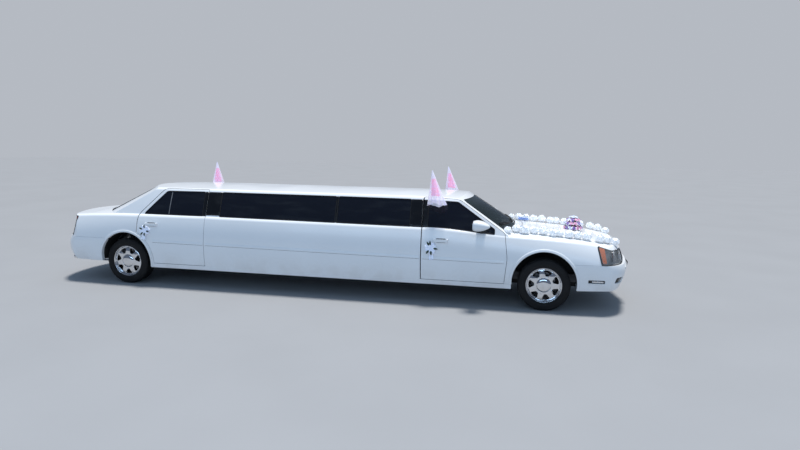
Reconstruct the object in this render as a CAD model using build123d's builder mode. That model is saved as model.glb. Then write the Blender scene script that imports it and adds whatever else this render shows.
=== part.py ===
from build123d import *
from math import atan2, cos, radians, sin, sqrt
import os

os.makedirs("parts", exist_ok=True)

# A stretch limousine: a four-door saloon cut behind its front doors and lengthened, dressed for a
# wedding. Millimetres. +X is forward, +Y is the car's left, +Z is up. The origin is on the ground,
# under the middle of the overall length. Heights are measured from the ground.

# Overall layout
SALOON_WHEELBASE = 2929.0
STRETCH = 3048.0
FRONT_OVERHANG = 1080.0
REAR_OVERHANG = 1249.0
WHEELBASE = SALOON_WHEELBASE + STRETCH
LENGTH = WHEELBASE + FRONT_OVERHANG + REAR_OVERHANG
REAR_AXLE = -LENGTH / 2 + REAR_OVERHANG
FRONT_AXLE = REAR_AXLE + WHEELBASE

# Walls and gaps
DOOR_WALL = 70.0
SKIN_WALL = 40.0
FRAME_WALL = 40.0
PANEL_GAP = 5.5
PILLAR_EXTRA = 8.5
SEAM = 0.3
TRIM_GAP = 2.0
GLASS_SET_BACK = 4.0
GLASS_WALL = 5.0
REACH = 6000.0
OPENING_NEAR = 664.0
NEAR = 676.0
FAR = 1010.0
HIGH = 2000.0
BODY_HIGH = 1200.0

# Heights
SILL_BOTTOM = 265.0
SILL_TOP = 326.0
DOOR_BOTTOM = 332.0
BUMPER_TOP = 622.0
REAR_BUMPER_TOP = 664.0
LID_BOTTOM = 671.0
FLANK_TOP = 640.0

# Wheels
TYRE_RADIUS = 332.0
RIM_RADIUS = 226.0
RIM_SEAT_RADIUS = 206.0
FRONT_TRACK = 1593.0
REAR_TRACK = 1580.0
HUB_BORE_RADIUS = 32.0
SPINDLE_CLEARANCE = 0.05
SPINDLE_END = 30.0
SPINDLE_RADIUS = HUB_BORE_RADIUS - SPINDLE_CLEARANCE
FLANGE_HALF = 102.0
SEAT_HALF = 90.0
RIM_WALL = 10.0
SPOKES = 7
SPOKE_PLANE = 40.0
SPOKE_THICK = 30.0
WHEEL_WINDOW_NEAR = 99.0
WHEEL_WINDOW_FAR = 178.0
WHEEL_WINDOW_NEAR_HALF = 14.0
WHEEL_WINDOW_FAR_HALF = 43.0
HUB_RADIUS = 76.0
HUB_BACK = 60.0
HUB_FRONT = 84.0
ARCH_RADIUS = 404.0
ARCH_HEIGHT = 360.0

# Door edges along the body
FRONT_DOOR_REAR = FRONT_AXLE - 1578.0
FRONT_DOOR_FRONT = FRONT_AXLE - 470.0
REAR_DOOR_FRONT = REAR_AXLE + 1268.0
REAR_DOOR_REAR = REAR_AXLE + 205.0

# Hood, trunk lid and lamps
SILL_INNER_HALF = 780.0
HOOD_HALF = 742.0
HOOD_REAR = FRONT_AXLE - 300.0
HOOD_REAR_BOW = 90.0
LID_FRONT = REAR_AXLE - 690.0
LID_HALF = 640.0
HOOD_FRONT_HALF = 668.0
HOOD_TOP_EDGE = 792.0
COWL_REAR = FRONT_AXLE - 600.0
SHELF_FRONT = REAR_AXLE - 60.0
LAMP_INNER = 470.0
GRILLE_HALF = 405.0
POCKET_DEPTH = 14.0
POCKET_START = 800.0
MARKER_REACH = 637.0
MARKER_LEVEL = 412.0
MARKER_LENGTH = 205.0
MARKER_HEIGHT = 46.0
INTAKE_LEVEL = 352.0
INTAKE_HALF = 470.0
INTAKE_HEIGHT = 62.0
FOG_MIDDLE = 762.0
FOG_LEVEL = 428.0
FOG_LENGTH = 150.0
FOG_HEIGHT = 76.0
GRILLE_BOTTOM = 640.0
GRILLE_TOP = 770.0
TAIL_LAMP_INNER = 655.0
TAIL_LAMP_TOP = 962.0
SILL_REAR = REAR_AXLE + 470.0
BUFFER_HALF = 400.0
BUFFER_X = REAR_AXLE - 1141.0
BUFFER_RADIUS = 8.0
PLATE_HOLE_SPACING = 178.0
PLATE_HOLE_RADIUS = 3.2
FRONT_PLATE_HEIGHT = 480.0
REAR_PLATE_HEIGHT = 800.0
FLOOR_TOP = 305.0
FLOOR_HALF = SILL_INNER_HALF - SEAM
TRUNK_FLOOR = 400.0
AXLE_FLOOR = 510.0
FIREWALL = FRONT_AXLE - 560.0
KINGPIN_HALF = 690.0
WELL_INNER_HALF = 640.0
SILL_FRONT = FRONT_AXLE - ARCH_RADIUS - 6.0
JACK_PAD_LENGTH = 90.0
JACK_PAD_WIDTH = 50.0
JACK_PAD_DROP = 12.0
JACK_PAD_HALF = 740.0
JACK_PAD_REACH = 700.0
HANDLE_LENGTH = 190.0
HANDLE_HEIGHT = 34.0
HANDLE_REACH = 30.0
CUP_DEPTH = 16.0
SCREEN_BASE_HALF = 812.0
SCREEN_TOP_HALF = 618.0
SCREEN_HEADER = 8.0
SCREEN_FOOT = 850.0
SCREEN_REACH = 1100.0
BACKLIGHT_BASE_HALF = 648.0
BACKLIGHT_TOP_HALF = 556.0

# Lower body cross-sections. Columns: x, half width at the crease, crease height, half width and
# height of the shoulder, crown height on the centreline, half width and height of the sill.
REAR_SECTIONS = [
    (REAR_AXLE - 1270.0, 865.0, 560.0, 750.0, 948.0, 985.0, 800.0, 335.0),
    (REAR_AXLE - 850.0, 918.0, 610.0, 815.0, 986.0, 1030.0, 862.0, 300.0),
    (REAR_AXLE - 150.0, 944.0, 650.0, 862.0, 1022.0, 1066.0, 900.0, 270.0),
    (REAR_AXLE + 700.0, 946.0, 652.0, 876.0, 1032.0, 1080.0, 905.0, SILL_BOTTOM),
    (REAR_DOOR_FRONT + PANEL_GAP / 2, 946.0, 648.0, 878.0, 1034.0, 1086.0, 905.0, SILL_BOTTOM),
]
FRONT_SECTIONS = [
    (FRONT_DOOR_REAR - PANEL_GAP / 2, 946.0, 618.0, 878.0, 1010.0, 1064.0, 905.0, SILL_BOTTOM),
    (FRONT_AXLE - 1000.0, 946.0, 616.0, 876.0, 986.0, 1042.0, 905.0, SILL_BOTTOM),
    (FRONT_AXLE - 400.0, 946.0, 615.0, 866.0, 942.0, 1002.0, 905.0, SILL_BOTTOM),
    (FRONT_AXLE + 150.0, 944.0, 615.0, 845.0, 912.0, 968.0, 900.0, 275.0),
    (FRONT_AXLE + 640.0, 918.0, 612.0, 806.0, 862.0, 908.0, 870.0, 290.0),
    (FRONT_AXLE + 1090.0, 850.0, 600.0, 740.0, 775.0, 815.0, 810.0, 300.0),
]
CENTRE_SECTIONS = [REAR_SECTIONS[-1], FRONT_SECTIONS[0]]

# Greenhouse cross-sections. Columns: x, half width at the base, base height, half width and height
# of the roof rail, roof height on the centreline.
GLASSHOUSE_SECTIONS = [
    (REAR_AXLE - 800.0, 755.0, 930.0, 590.0, 1335.0, 1362.0),
    (REAR_AXLE + 250.0, 868.0, 930.0, 700.0, 1408.0, 1432.0),
    (REAR_AXLE + 1400.0, 884.0, 930.0, 722.0, 1414.0, 1440.0),
    (REAR_AXLE + 2850.0, 884.0, 930.0, 722.0, 1407.0, 1439.0),
    (FRONT_AXLE - 1700.0, 884.0, 930.0, 722.0, 1400.0, 1436.0),
    (FRONT_AXLE - 1000.0, 880.0, 930.0, 712.0, 1375.0, 1412.0),
    (FRONT_AXLE - 300.0, 862.0, 930.0, 680.0, 1280.0, 1322.0),
]
SIDE_BARREL = 9.0
RAIL_RADIUS = 62.0
SHOULDER_RADIUS = 62.0
LOWER_BARREL = 12.0
UPPER_BARREL = 16.0

# Rounded ends seen from above. Columns: height, reach past the axle, half width, corner radius,
# end radius.
NOSE_LEVELS = [
    (540.0, 1030.0, 955.0, 420.0, 2700.0),
    (700.0, 1012.0, 955.0, 420.0, 2600.0),
    (800.0, 965.0, 955.0, 420.0, 2400.0),
    (900.0, 850.0, 955.0, 420.0, 2200.0),
    (1100.0, 480.0, 955.0, 420.0, 2000.0),
]
TAIL_LEVELS = [
    (600.0, 1218.0, 960.0, 500.0, 1900.0),
    (1060.0, 1078.0, 960.0, 500.0, 1900.0),
]
FRONT_BUMPER_LEVELS = [
    (255.0, 985.0, 955.0, 420.0, 2700.0),
    (430.0, 1060.0, 955.0, 420.0, 2700.0),
    (547.0, 1080.0, 955.0, 420.0, 2700.0),
    (640.0, 1052.0, 955.0, 420.0, 2700.0),
]
REAR_BUMPER_LEVELS = [
    (320.0, 1150.0, 960.0, 500.0, 1900.0),
    (430.0, 1232.0, 960.0, 500.0, 1900.0),
    (548.0, 1249.0, 960.0, 500.0, 1900.0),
    (680.0, 1205.0, 960.0, 500.0, 1900.0),
]

# Windscreen and rear window: base and top points on the centreline, and the radius of the bow
SCREEN_BASE = (FRONT_AXLE - 377.0, 985.0)
SCREEN_TOP = (FRONT_AXLE - 1017.0, 1375.0)
SCREEN_BOW = 4600.0
BACKLIGHT_BASE = (REAR_AXLE - 660.0, 1045.0)
BACKLIGHT_TOP = (REAR_AXLE + 100.0, 1412.0)
BACKLIGHT_BOW = 1750.0


def bowed(start, end, rise):
    """The middle point of an arc from start to end that bows to the right of its direction."""
    across, up = end[0] - start[0], end[1] - start[1]
    chord = sqrt(across * across + up * up)
    middle = ((start[0] + end[0]) / 2, (start[1] + end[1]) / 2)
    return (middle[0] + rise * up / chord, middle[1] - rise * across / chord)


def lower_body(sections, inset, ruled=False):
    """The outer form of the lower body through its cross-sections, or a copy inset by a wall."""
    with BuildPart() as body:
        for x, half, crease, edge, shoulder, crown, sill_half, sill in sections:
            with BuildSketch(Plane.YZ.offset(x)):
                with BuildLine():
                    low = (sill_half - inset, sill + inset)
                    wide = (half - inset, crease)
                    high = (edge - inset, shoulder - inset)
                    Line((-low[0], low[1]), low)
                    rise = bowed(low, wide, LOWER_BARREL)
                    ThreePointArc(low, rise, wide)
                    bulge = bowed(wide, high, UPPER_BARREL)
                    ThreePointArc(wide, bulge, high)
                    ThreePointArc(high, (0, crown - inset), (-high[0], high[1]))
                    ThreePointArc((-high[0], high[1]), (-bulge[0], bulge[1]), (-wide[0], wide[1]))
                    ThreePointArc((-wide[0], wide[1]), (-rise[0], rise[1]), (-low[0], low[1]))
                face = make_face()
                corners = face.vertices().filter_by_position(Axis.Y, high[1] - 1, high[1] + 1)
                fillet(corners, max(SHOULDER_RADIUS - inset, 12.0))
        loft(ruled=ruled)
    return body.part


def glasshouse(inset):
    """The outer form of the roof and its side glass, or a copy inset by a wall."""
    with BuildPart() as house:
        for x, base_half, base, rail_half, rail, crown in GLASSHOUSE_SECTIONS:
            with BuildSketch(Plane.YZ.offset(x)):
                with BuildLine():
                    low = (base_half - inset, base)
                    high = (rail_half - inset, rail - inset)
                    Line((-low[0], low[1]), low)
                    rise = bowed(low, high, SIDE_BARREL)
                    ThreePointArc(low, rise, high)
                    ThreePointArc(high, (0, crown - inset), (-high[0], high[1]))
                    ThreePointArc((-high[0], high[1]), (-rise[0], rise[1]), (-low[0], low[1]))
                face = make_face()
                corners = face.vertices().filter_by_position(Axis.Y, high[1] - 1, high[1] + 1)
                fillet(corners, max(RAIL_RADIUS - inset, 12.0))
        loft()
    return house.part


def rounded_end(axle, side, levels, inset):
    """A block whose end, seen from above, is a line, a corner arc, an end arc and their mirror."""
    with BuildPart() as block:
        for height, reach, half, corner, end in levels:
            half, reach = half - inset, reach - inset
            corner, end = corner - inset, end - inset
            slope = (half - corner) / (end - corner)
            turn = sqrt(1 - slope * slope)
            start = reach - corner * turn - end * (1 - turn)
            meet = (axle + side * (start + corner * turn), end * slope)
            middle = radians(45.0) - atan2(slope, turn) / 2
            rim = (axle + side * (start + corner * sin(middle)), half - corner * (1 - cos(middle)))
            far = axle - side * 3000.0
            with BuildSketch(Plane.XY.offset(height)):
                with BuildLine():
                    Line((far, -half), (axle + side * start, -half))
                    ThreePointArc((axle + side * start, -half), (rim[0], -rim[1]), (meet[0], -meet[1]))
                    ThreePointArc((meet[0], -meet[1]), (axle + side * reach, 0), meet)
                    ThreePointArc(meet, rim, (axle + side * start, half))
                    Line((axle + side * start, half), (far, half))
                    Line((far, half), (far, -half))
                make_face()
        loft(ruled=len(levels) == 2)
    return block.part


def glass_side(base, top, bow, outward, depth):
    """Everything outside a bowed sheet of glass: outward is +1 for the windscreen, -1 behind."""
    run, climb = top[0] - base[0], top[1] - base[1]
    length = sqrt(run * run + climb * climb)
    slope = Vector(run / length, 0, climb / length)
    plane = Plane(origin=(base[0], 0, base[1]), x_dir=(0, 1, 0), z_dir=slope)
    sag = bow - sqrt(bow * bow - SCREEN_REACH * SCREEN_REACH)
    edge = outward * (depth + sag)
    with BuildPart() as outside:
        with BuildSketch(plane):
            with BuildLine():
                ThreePointArc((-SCREEN_REACH, edge), (0, outward * depth), (SCREEN_REACH, edge))
                Polyline(
                    (SCREEN_REACH, edge),
                    (SCREEN_REACH, -outward * REACH),
                    (-SCREEN_REACH, -outward * REACH),
                    (-SCREEN_REACH, edge),
                )
            make_face()
        extrude(amount=REACH / 2, both=True)
    return outside.part


def windscreen_side(depth):
    return glass_side(SCREEN_BASE, SCREEN_TOP, SCREEN_BOW, 1, depth)


def backlight_side(depth):
    return glass_side(BACKLIGHT_BASE, BACKLIGHT_TOP, BACKLIGHT_BOW, -1, depth)


rear_skin = lower_body(REAR_SECTIONS, 0)
centre_skin = lower_body(CENTRE_SECTIONS, 0, ruled=True)
front_skin = lower_body(FRONT_SECTIONS, 0)
house_skin = glasshouse(0)
rear_door_core = lower_body(REAR_SECTIONS, DOOR_WALL)
centre_core = lower_body(CENTRE_SECTIONS, DOOR_WALL, ruled=True)
front_door_core = lower_body(FRONT_SECTIONS, DOOR_WALL)
rear_core = lower_body(REAR_SECTIONS, SKIN_WALL)
front_core = lower_body(FRONT_SECTIONS, SKIN_WALL)
front_clear = lower_body(FRONT_SECTIONS, -SEAM)
rear_clear = lower_body(REAR_SECTIONS, -SEAM)
house_core = glasshouse(FRAME_WALL)
house_clear = glasshouse(-SEAM)


def slab(x, y, z):
    """A plain block between pairs of limits along each axis."""
    with BuildPart() as block:
        with BuildSketch(Plane.XY.offset(z[0])):
            with Locations(((x[0] + x[1]) / 2, (y[0] + y[1]) / 2)):
                Rectangle(x[1] - x[0], y[1] - y[0])
        extrude(amount=z[1] - z[0])
    return block.part


def outlined(table, near, far, grow=0.0, rearward=0.0, clear=None):
    """A right-hand block with an outline of (x, z, corner radius), from y = -near to y = -far."""
    with BuildPart() as block:
        with BuildSketch(Plane.XZ.offset(near)):
            with BuildLine():
                FilletPolyline(
                    *[(x, z) for x, z, radius in table],
                    radius=[radius for x, z, radius in table],
                    close=True,
                )
            face = make_face()
            if grow:
                offset(amount=grow)
            if rearward:
                with Locations((-rearward, 0)):
                    add(face)
            if clear:
                with Locations((clear[0], clear[1])):
                    Circle(clear[2] - grow, mode=Mode.SUBTRACT)
        extrude(amount=far - near)
    return block.part


def both_sides(right):
    """A right-hand piece with its mirror image on the left."""
    with BuildPart() as pair:
        add(right)
        mirror(right, about=Plane.XZ)
    return pair.part


def on_left(right):
    """The left-hand mirror image of a right-hand piece."""
    with BuildPart() as twin:
        mirror(right, about=Plane.XZ)
    return twin.part


DOOR_ARCH_CLEAR = (REAR_AXLE, ARCH_HEIGHT, ARCH_RADIUS + 56.0)
FRONT_DOOR = [
    (FRONT_DOOR_REAR, DOOR_BOTTOM, 12.0),
    (FRONT_DOOR_FRONT - 33.0, DOOR_BOTTOM, 12.0),
    (FRONT_DOOR_FRONT, 660.0, 300.0),
    (FRONT_DOOR_FRONT - 40.0, 968.0, 40.0),
    (FRONT_AXLE - 1120.0, 1372.0, 160.0),
    (FRONT_DOOR_REAR, 1392.0, 12.0),
]
REAR_DOOR = [
    (REAR_DOOR_REAR, DOOR_BOTTOM, 12.0),
    (REAR_DOOR_FRONT, DOOR_BOTTOM, 12.0),
    (REAR_DOOR_FRONT, 1402.0, 12.0),
    (REAR_AXLE + 570.0, 1402.0, 120.0),
    (REAR_DOOR_REAR + 14.0, 1050.0, 60.0),
    (REAR_DOOR_REAR, 920.0, 60.0),
]
FRONT_DOOR_WINDOW = [
    (FRONT_AXLE - 1515.0, 900.0, 20.0),
    (FRONT_AXLE - 640.0, 900.0, 20.0),
    (FRONT_AXLE - 640.0, 1015.0, 20.0),
    (FRONT_AXLE - 1128.0, 1342.0, 70.0),
    (FRONT_AXLE - 1515.0, 1358.0, 20.0),
]
REAR_DOOR_WINDOW = [
    (REAR_AXLE + 290.0, 900.0, 20.0),
    (REAR_AXLE + 1216.0, 900.0, 20.0),
    (REAR_AXLE + 1216.0, 1372.0, 20.0),
    (REAR_AXLE + 605.0, 1368.0, 70.0),
    (REAR_AXLE + 290.0, 1052.0, 30.0),
]
STRETCH_WINDOWS = [
    [
        (REAR_AXLE + 1480.0, 900.0, 20.0),
        (REAR_AXLE + 3188.0, 900.0, 20.0),
        (REAR_AXLE + 3188.0, 1368.0, 20.0),
        (REAR_AXLE + 1480.0, 1372.0, 20.0),
    ],
    [
        (REAR_AXLE + 3212.0, 900.0, 20.0),
        (FRONT_AXLE - 1750.0, 900.0, 20.0),
        (FRONT_AXLE - 1750.0, 1362.0, 20.0),
        (REAR_AXLE + 3212.0, 1368.0, 20.0),
    ],
]
front_opening = outlined(FRONT_DOOR, OPENING_NEAR, FAR, PANEL_GAP, PANEL_GAP + PILLAR_EXTRA)
rear_opening = outlined(REAR_DOOR, OPENING_NEAR, FAR, PANEL_GAP, PANEL_GAP + PILLAR_EXTRA, DOOR_ARCH_CLEAR)
front_window = outlined(FRONT_DOOR_WINDOW, NEAR, FAR)
rear_side_window = outlined(REAR_DOOR_WINDOW, NEAR, FAR)

with BuildPart() as house_shell:
    add(house_skin)
    add(house_core, mode=Mode.SUBTRACT)
with BuildPart() as glass_layer:
    add(glasshouse(GLASS_SET_BACK))
    add(glasshouse(GLASS_SET_BACK + GLASS_WALL), mode=Mode.SUBTRACT)


def door_shell(skin, core, outline, window):
    """The right-hand door: its lower wall with the window frame above it."""
    with BuildPart() as frame:
        add(house_shell.part)
        add(slab((-REACH, REACH), (-FAR, -NEAR), (0, HIGH)), mode=Mode.INTERSECT)
        add(window, mode=Mode.SUBTRACT)
    with BuildPart() as door:
        add(skin)
        add(core, mode=Mode.SUBTRACT)
        add(slab((-REACH, REACH), (-FAR, -SILL_INNER_HALF), (0, HIGH)), mode=Mode.INTERSECT)
        add(frame.part)
        add(outline, mode=Mode.INTERSECT)
    return door.part


def side_glass_pane(table, skin):
    """A right-hand pane set into its window and standing on the belt."""
    with BuildPart() as pane:
        add(glass_layer.part)
        add(outlined(table, NEAR, FAR, -SEAM), mode=Mode.INTERSECT)
        add(skin, mode=Mode.SUBTRACT)
    return pane.part


def save(part, name):
    """Label a finished piece and write it under the name of its node."""
    part.label = name
    export_step(part, f"parts/{name}.step")


# Doors, cut from the lower wall and from the side of the glasshouse, with their panes
front_door = door_shell(front_skin, front_door_core, outlined(FRONT_DOOR, NEAR, FAR), front_window)
rear_door = door_shell(
    rear_skin, rear_door_core, outlined(REAR_DOOR, NEAR, FAR, 0, 0, DOOR_ARCH_CLEAR), rear_side_window
)
front_glass = side_glass_pane(FRONT_DOOR_WINDOW, front_skin)
rear_glass = side_glass_pane(REAR_DOOR_WINDOW, rear_skin)


def handle(x, z, skin_half):
    """A pull handle on the right-hand door, lying on the skin with a grip held clear of it."""
    with BuildPart() as pull:
        with BuildSketch(Plane.XY.offset(z - HANDLE_HEIGHT / 2)):
            with BuildLine():
                outer = FilletPolyline(
                    (x - HANDLE_LENGTH / 2, -skin_half + 25),
                    (x - HANDLE_LENGTH / 2, -skin_half - HANDLE_REACH),
                    (x + HANDLE_LENGTH / 2, -skin_half - HANDLE_REACH),
                    (x + HANDLE_LENGTH / 2, -skin_half + 25),
                    radius=14,
                )
                Line(outer @ 1, outer @ 0)
            make_face()
            with Locations((x, -skin_half - HANDLE_REACH + 24)):
                Rectangle(HANDLE_LENGTH - 40, 24, mode=Mode.SUBTRACT)
        extrude(amount=HANDLE_HEIGHT)
    return pull.part


def hand_cup(x, z, skin_half):
    """The hollow in the right-hand door behind its handle."""
    with BuildPart() as cup:
        with BuildSketch(Plane.XZ.offset(skin_half - CUP_DEPTH)):
            with Locations((x, z)):
                RectangleRounded(HANDLE_LENGTH - 48, HANDLE_HEIGHT + 22, 24)
        extrude(amount=FAR - skin_half)
    return cup.part


# Columns: door, distance along the car and height of its handle, half width of the skin there
HANDLES = [
    (front_door, FRONT_DOOR_REAR + 253.0, 850.0, 924.0, "door_front"),
    (rear_door, REAR_DOOR_REAR + 227.0, 895.0, 926.0, "door_rear"),
]
for panel, x, z, skin_half, name in HANDLES:
    with BuildPart() as door:
        add(panel)
        add(hand_cup(x, z, skin_half), mode=Mode.SUBTRACT)
        add(handle(x, z, skin_half))
    save(door.part, name + "_right")
    save(on_left(door.part), name + "_left")
for pane, name in ((front_glass, "glass_front"), (rear_glass, "glass_rear")):
    save(pane, name + "_right")
    save(on_left(pane), name + "_left")

# Body sides: the panel of the stretch, with the sills that run under the doors
with BuildPart() as side_panels:
    add(centre_skin)
    add(rear_skin)
    add(front_skin)
    for core in (rear_door_core, centre_core, front_door_core):
        add(core, mode=Mode.SUBTRACT)
    with BuildSketch(Plane.XZ.offset(SILL_INNER_HALF)):
        with BuildLine():
            Polyline(
                (SILL_REAR, 0),
                (SILL_REAR, SILL_TOP),
                (REAR_DOOR_FRONT + PANEL_GAP, SILL_TOP),
                (REAR_DOOR_FRONT + PANEL_GAP, 1400),
                (FRONT_DOOR_REAR - PANEL_GAP - PILLAR_EXTRA, 1400),
                (FRONT_DOOR_REAR - PANEL_GAP - PILLAR_EXTRA, SILL_TOP),
                (SILL_FRONT, SILL_TOP),
                (SILL_FRONT, 0),
                close=True,
            )
        make_face()
    extrude(amount=FAR - SILL_INNER_HALF, mode=Mode.INTERSECT)
    mirror(about=Plane.XZ)
save(side_panels.part, "side_panels")

# Roof with its pillars, cut for the doors, the side windows, the windscreen and the rear window
with BuildPart() as windscreen_opening:
    with BuildSketch(Plane.YZ.offset(SCREEN_TOP[0] - 300)):
        with BuildLine():
            FilletPolyline(
                (-SCREEN_BASE_HALF, SCREEN_FOOT),
                (-SCREEN_TOP_HALF, SCREEN_TOP[1] - SCREEN_HEADER),
                (SCREEN_TOP_HALF, SCREEN_TOP[1] - SCREEN_HEADER),
                (SCREEN_BASE_HALF, SCREEN_FOOT),
                radius=60,
                close=True,
            )
        make_face()
    extrude(amount=1400)
with BuildPart() as backlight_opening:
    with BuildSketch(Plane.YZ.offset(BACKLIGHT_BASE[0] - 300)):
        with BuildLine():
            FilletPolyline(
                (-BACKLIGHT_BASE_HALF, SCREEN_FOOT),
                (-BACKLIGHT_TOP_HALF, BACKLIGHT_TOP[1] - SCREEN_HEADER),
                (BACKLIGHT_TOP_HALF, BACKLIGHT_TOP[1] - SCREEN_HEADER),
                (BACKLIGHT_BASE_HALF, SCREEN_FOOT),
                radius=70,
                close=True,
            )
        make_face()
    extrude(amount=1300)
with BuildPart() as cabin_form:
    add(house_core)
    add(windscreen_side(FRAME_WALL), mode=Mode.SUBTRACT)
    add(backlight_side(FRAME_WALL), mode=Mode.SUBTRACT)
with BuildPart() as roof:
    add(house_skin)
    add(windscreen_side(0), mode=Mode.SUBTRACT)
    add(backlight_side(0), mode=Mode.SUBTRACT)
    add(cabin_form.part, mode=Mode.SUBTRACT)
    for skin in (rear_skin, centre_skin, front_skin):
        add(skin, mode=Mode.SUBTRACT)
    add(both_sides(front_opening), mode=Mode.SUBTRACT)
    add(both_sides(rear_opening), mode=Mode.SUBTRACT)
    for table in STRETCH_WINDOWS:
        add(both_sides(outlined(table, NEAR, FAR)), mode=Mode.SUBTRACT)
    add(windscreen_opening.part, mode=Mode.SUBTRACT)
    add(backlight_opening.part, mode=Mode.SUBTRACT)
save(roof.part, "roof")


def screen_glass(side, opening):
    """A bowed pane set into its opening and standing on the body below it."""
    with BuildPart() as pane:
        add(opening)
        add(side(GLASS_SET_BACK), mode=Mode.SUBTRACT)
        add(side(GLASS_SET_BACK + GLASS_WALL), mode=Mode.INTERSECT)
        add(rear_skin, mode=Mode.SUBTRACT)
        add(front_skin, mode=Mode.SUBTRACT)
    return pane.part


# Panes of the windscreen, the rear window and the stretch
save(screen_glass(windscreen_side, windscreen_opening.part), "windscreen")
save(screen_glass(backlight_side, backlight_opening.part), "rear_window")
panes = []
for table in STRETCH_WINDOWS:
    panes.append(side_glass_pane(table, centre_skin))
with BuildPart() as side_glass:
    for pane in panes:
        add(both_sides(pane))
save(side_glass.part, "side_glass")


def hollow(core, axle, side, levels):
    """The space inside a rounded shell."""
    with BuildPart() as space:
        add(core)
        add(rounded_end(axle, side, levels, SKIN_WALL), mode=Mode.INTERSECT)
    return space.part


def rounded_shell(skin, core, axle, side, levels):
    """The wall of the body between its skin and a rounded end."""
    with BuildPart() as wall:
        add(skin)
        add(rounded_end(axle, side, levels, 0), mode=Mode.INTERSECT)
        add(hollow(core, axle, side, levels), mode=Mode.SUBTRACT)
    return wall.part


def wheel_arch(axle, radius):
    """The round opening for a wheel, right through both sides of the body."""
    with BuildPart() as arch:
        with BuildSketch(Plane.XZ.offset(-FAR)):
            with Locations((axle, ARCH_HEIGHT)):
                Circle(radius)
            with Locations((axle, ARCH_HEIGHT - 300)):
                Rectangle(2 * radius, 600)
        extrude(amount=2 * FAR)
    return arch.part


def hood_block(grow):
    """The hood's outline from above, from its leading edge up."""
    with BuildPart() as block:
        with BuildSketch(Plane.XY.offset(HOOD_TOP_EDGE - grow)):
            with BuildLine():
                ThreePointArc(
                    (HOOD_REAR - HOOD_REAR_BOW, -HOOD_HALF),
                    (HOOD_REAR, 0),
                    (HOOD_REAR - HOOD_REAR_BOW, HOOD_HALF),
                )
                Polyline(
                    (HOOD_REAR - HOOD_REAR_BOW, HOOD_HALF),
                    (FRONT_AXLE + 1100, HOOD_FRONT_HALF),
                    (FRONT_AXLE + 1100, -HOOD_FRONT_HALF),
                    (HOOD_REAR - HOOD_REAR_BOW, -HOOD_HALF),
                )
            make_face()
            if grow:
                offset(amount=grow)
        extrude(amount=400)
    return block.part


def lamp_block(grow):
    """The headlamps' outline from the side, outboard of the grille on both sides."""
    with BuildPart() as block:
        with BuildSketch(Plane.XZ.offset(LAMP_INNER - grow)):
            with BuildLine():
                FilletPolyline(
                    (FRONT_AXLE + 690, BUMPER_TOP + 6),
                    (FRONT_AXLE + 1100, BUMPER_TOP + 6),
                    (FRONT_AXLE + 1100, HOOD_TOP_EDGE - 6),
                    (FRONT_AXLE + 815, HOOD_TOP_EDGE + 10),
                    (FRONT_AXLE + 632, 856),
                    radius=14,
                    close=True,
                )
            make_face()
            if grow:
                offset(amount=grow)
        extrude(amount=600)
        mirror(about=Plane.XZ)
    return block.part


def plate_holes(start, depth, height):
    """The pair of holes for a number plate, drilled along the car."""
    with BuildPart() as holes:
        with BuildSketch(Plane.YZ.offset(start)):
            with Locations((0, height)):
                with GridLocations(PLATE_HOLE_SPACING, 0, 2, 1):
                    Circle(PLATE_HOLE_RADIUS)
        extrude(amount=depth)
    return holes.part


# Nose: hood, headlamps, fenders, nose panel, bumper and cowl
front_wall = rounded_shell(front_skin, front_core, FRONT_AXLE, 1, NOSE_LEVELS)
with BuildPart() as hood:
    add(front_wall)
    add(hood_block(0), mode=Mode.INTERSECT)
save(hood.part, "hood")
with BuildPart() as headlamps:
    add(front_wall)
    add(lamp_block(0), mode=Mode.INTERSECT)
    add(hood_block(PANEL_GAP), mode=Mode.SUBTRACT)
save(headlamps.part, "headlamps")
with BuildPart() as front_flank:
    add(front_skin)
    add(front_core, mode=Mode.SUBTRACT)
    add(
        slab((FRONT_DOOR_FRONT - 300, FRONT_AXLE), (-FAR, FAR), (SILL_TOP + TRIM_GAP, FLANK_TOP)),
        mode=Mode.INTERSECT,
    )
with BuildPart() as fenders:
    add(front_wall)
    add(front_flank.part)
    add(slab((FRONT_DOOR_FRONT - 300, REACH), (-FAR, FAR), (0, BODY_HIGH)), mode=Mode.INTERSECT)
    add(both_sides(front_opening), mode=Mode.SUBTRACT)
    add(slab((0, FRONT_DOOR_FRONT - 100), (-FAR, FAR), (0, BODY_HIGH)), mode=Mode.SUBTRACT)
    add(hood_block(PANEL_GAP), mode=Mode.SUBTRACT)
    add(lamp_block(SEAM), mode=Mode.SUBTRACT)
    add(wheel_arch(FRONT_AXLE, ARCH_RADIUS), mode=Mode.SUBTRACT)
    add(slab((0, REACH), (-HOOD_FRONT_HALF, HOOD_FRONT_HALF), (0, BODY_HIGH)), mode=Mode.SUBTRACT)
    add(slab((FRONT_AXLE, REACH), (-FAR, FAR), (0, BUMPER_TOP + TRIM_GAP)), mode=Mode.SUBTRACT)
    add(slab((0, FRONT_AXLE), (-FAR, FAR), (0, SILL_TOP + TRIM_GAP)), mode=Mode.SUBTRACT)
save(fenders.part, "front_fenders")
with BuildPart() as nose_panel:
    add(front_wall)
    add(
        slab(
            (FRONT_AXLE, REACH),
            (-LAMP_INNER + SEAM, LAMP_INNER - SEAM),
            (BUMPER_TOP + TRIM_GAP, HOOD_TOP_EDGE - PANEL_GAP),
        ),
        mode=Mode.INTERSECT,
    )
    add(
        slab((FRONT_AXLE, REACH), (-GRILLE_HALF, GRILLE_HALF), (GRILLE_BOTTOM, GRILLE_TOP)),
        mode=Mode.SUBTRACT,
    )
save(nose_panel.part, "nose_panel")
with BuildPart() as pocket_floor:
    add(lower_body(FRONT_SECTIONS, POCKET_DEPTH))
    add(rounded_end(FRONT_AXLE, 1, FRONT_BUMPER_LEVELS, POCKET_DEPTH), mode=Mode.INTERSECT)
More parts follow.
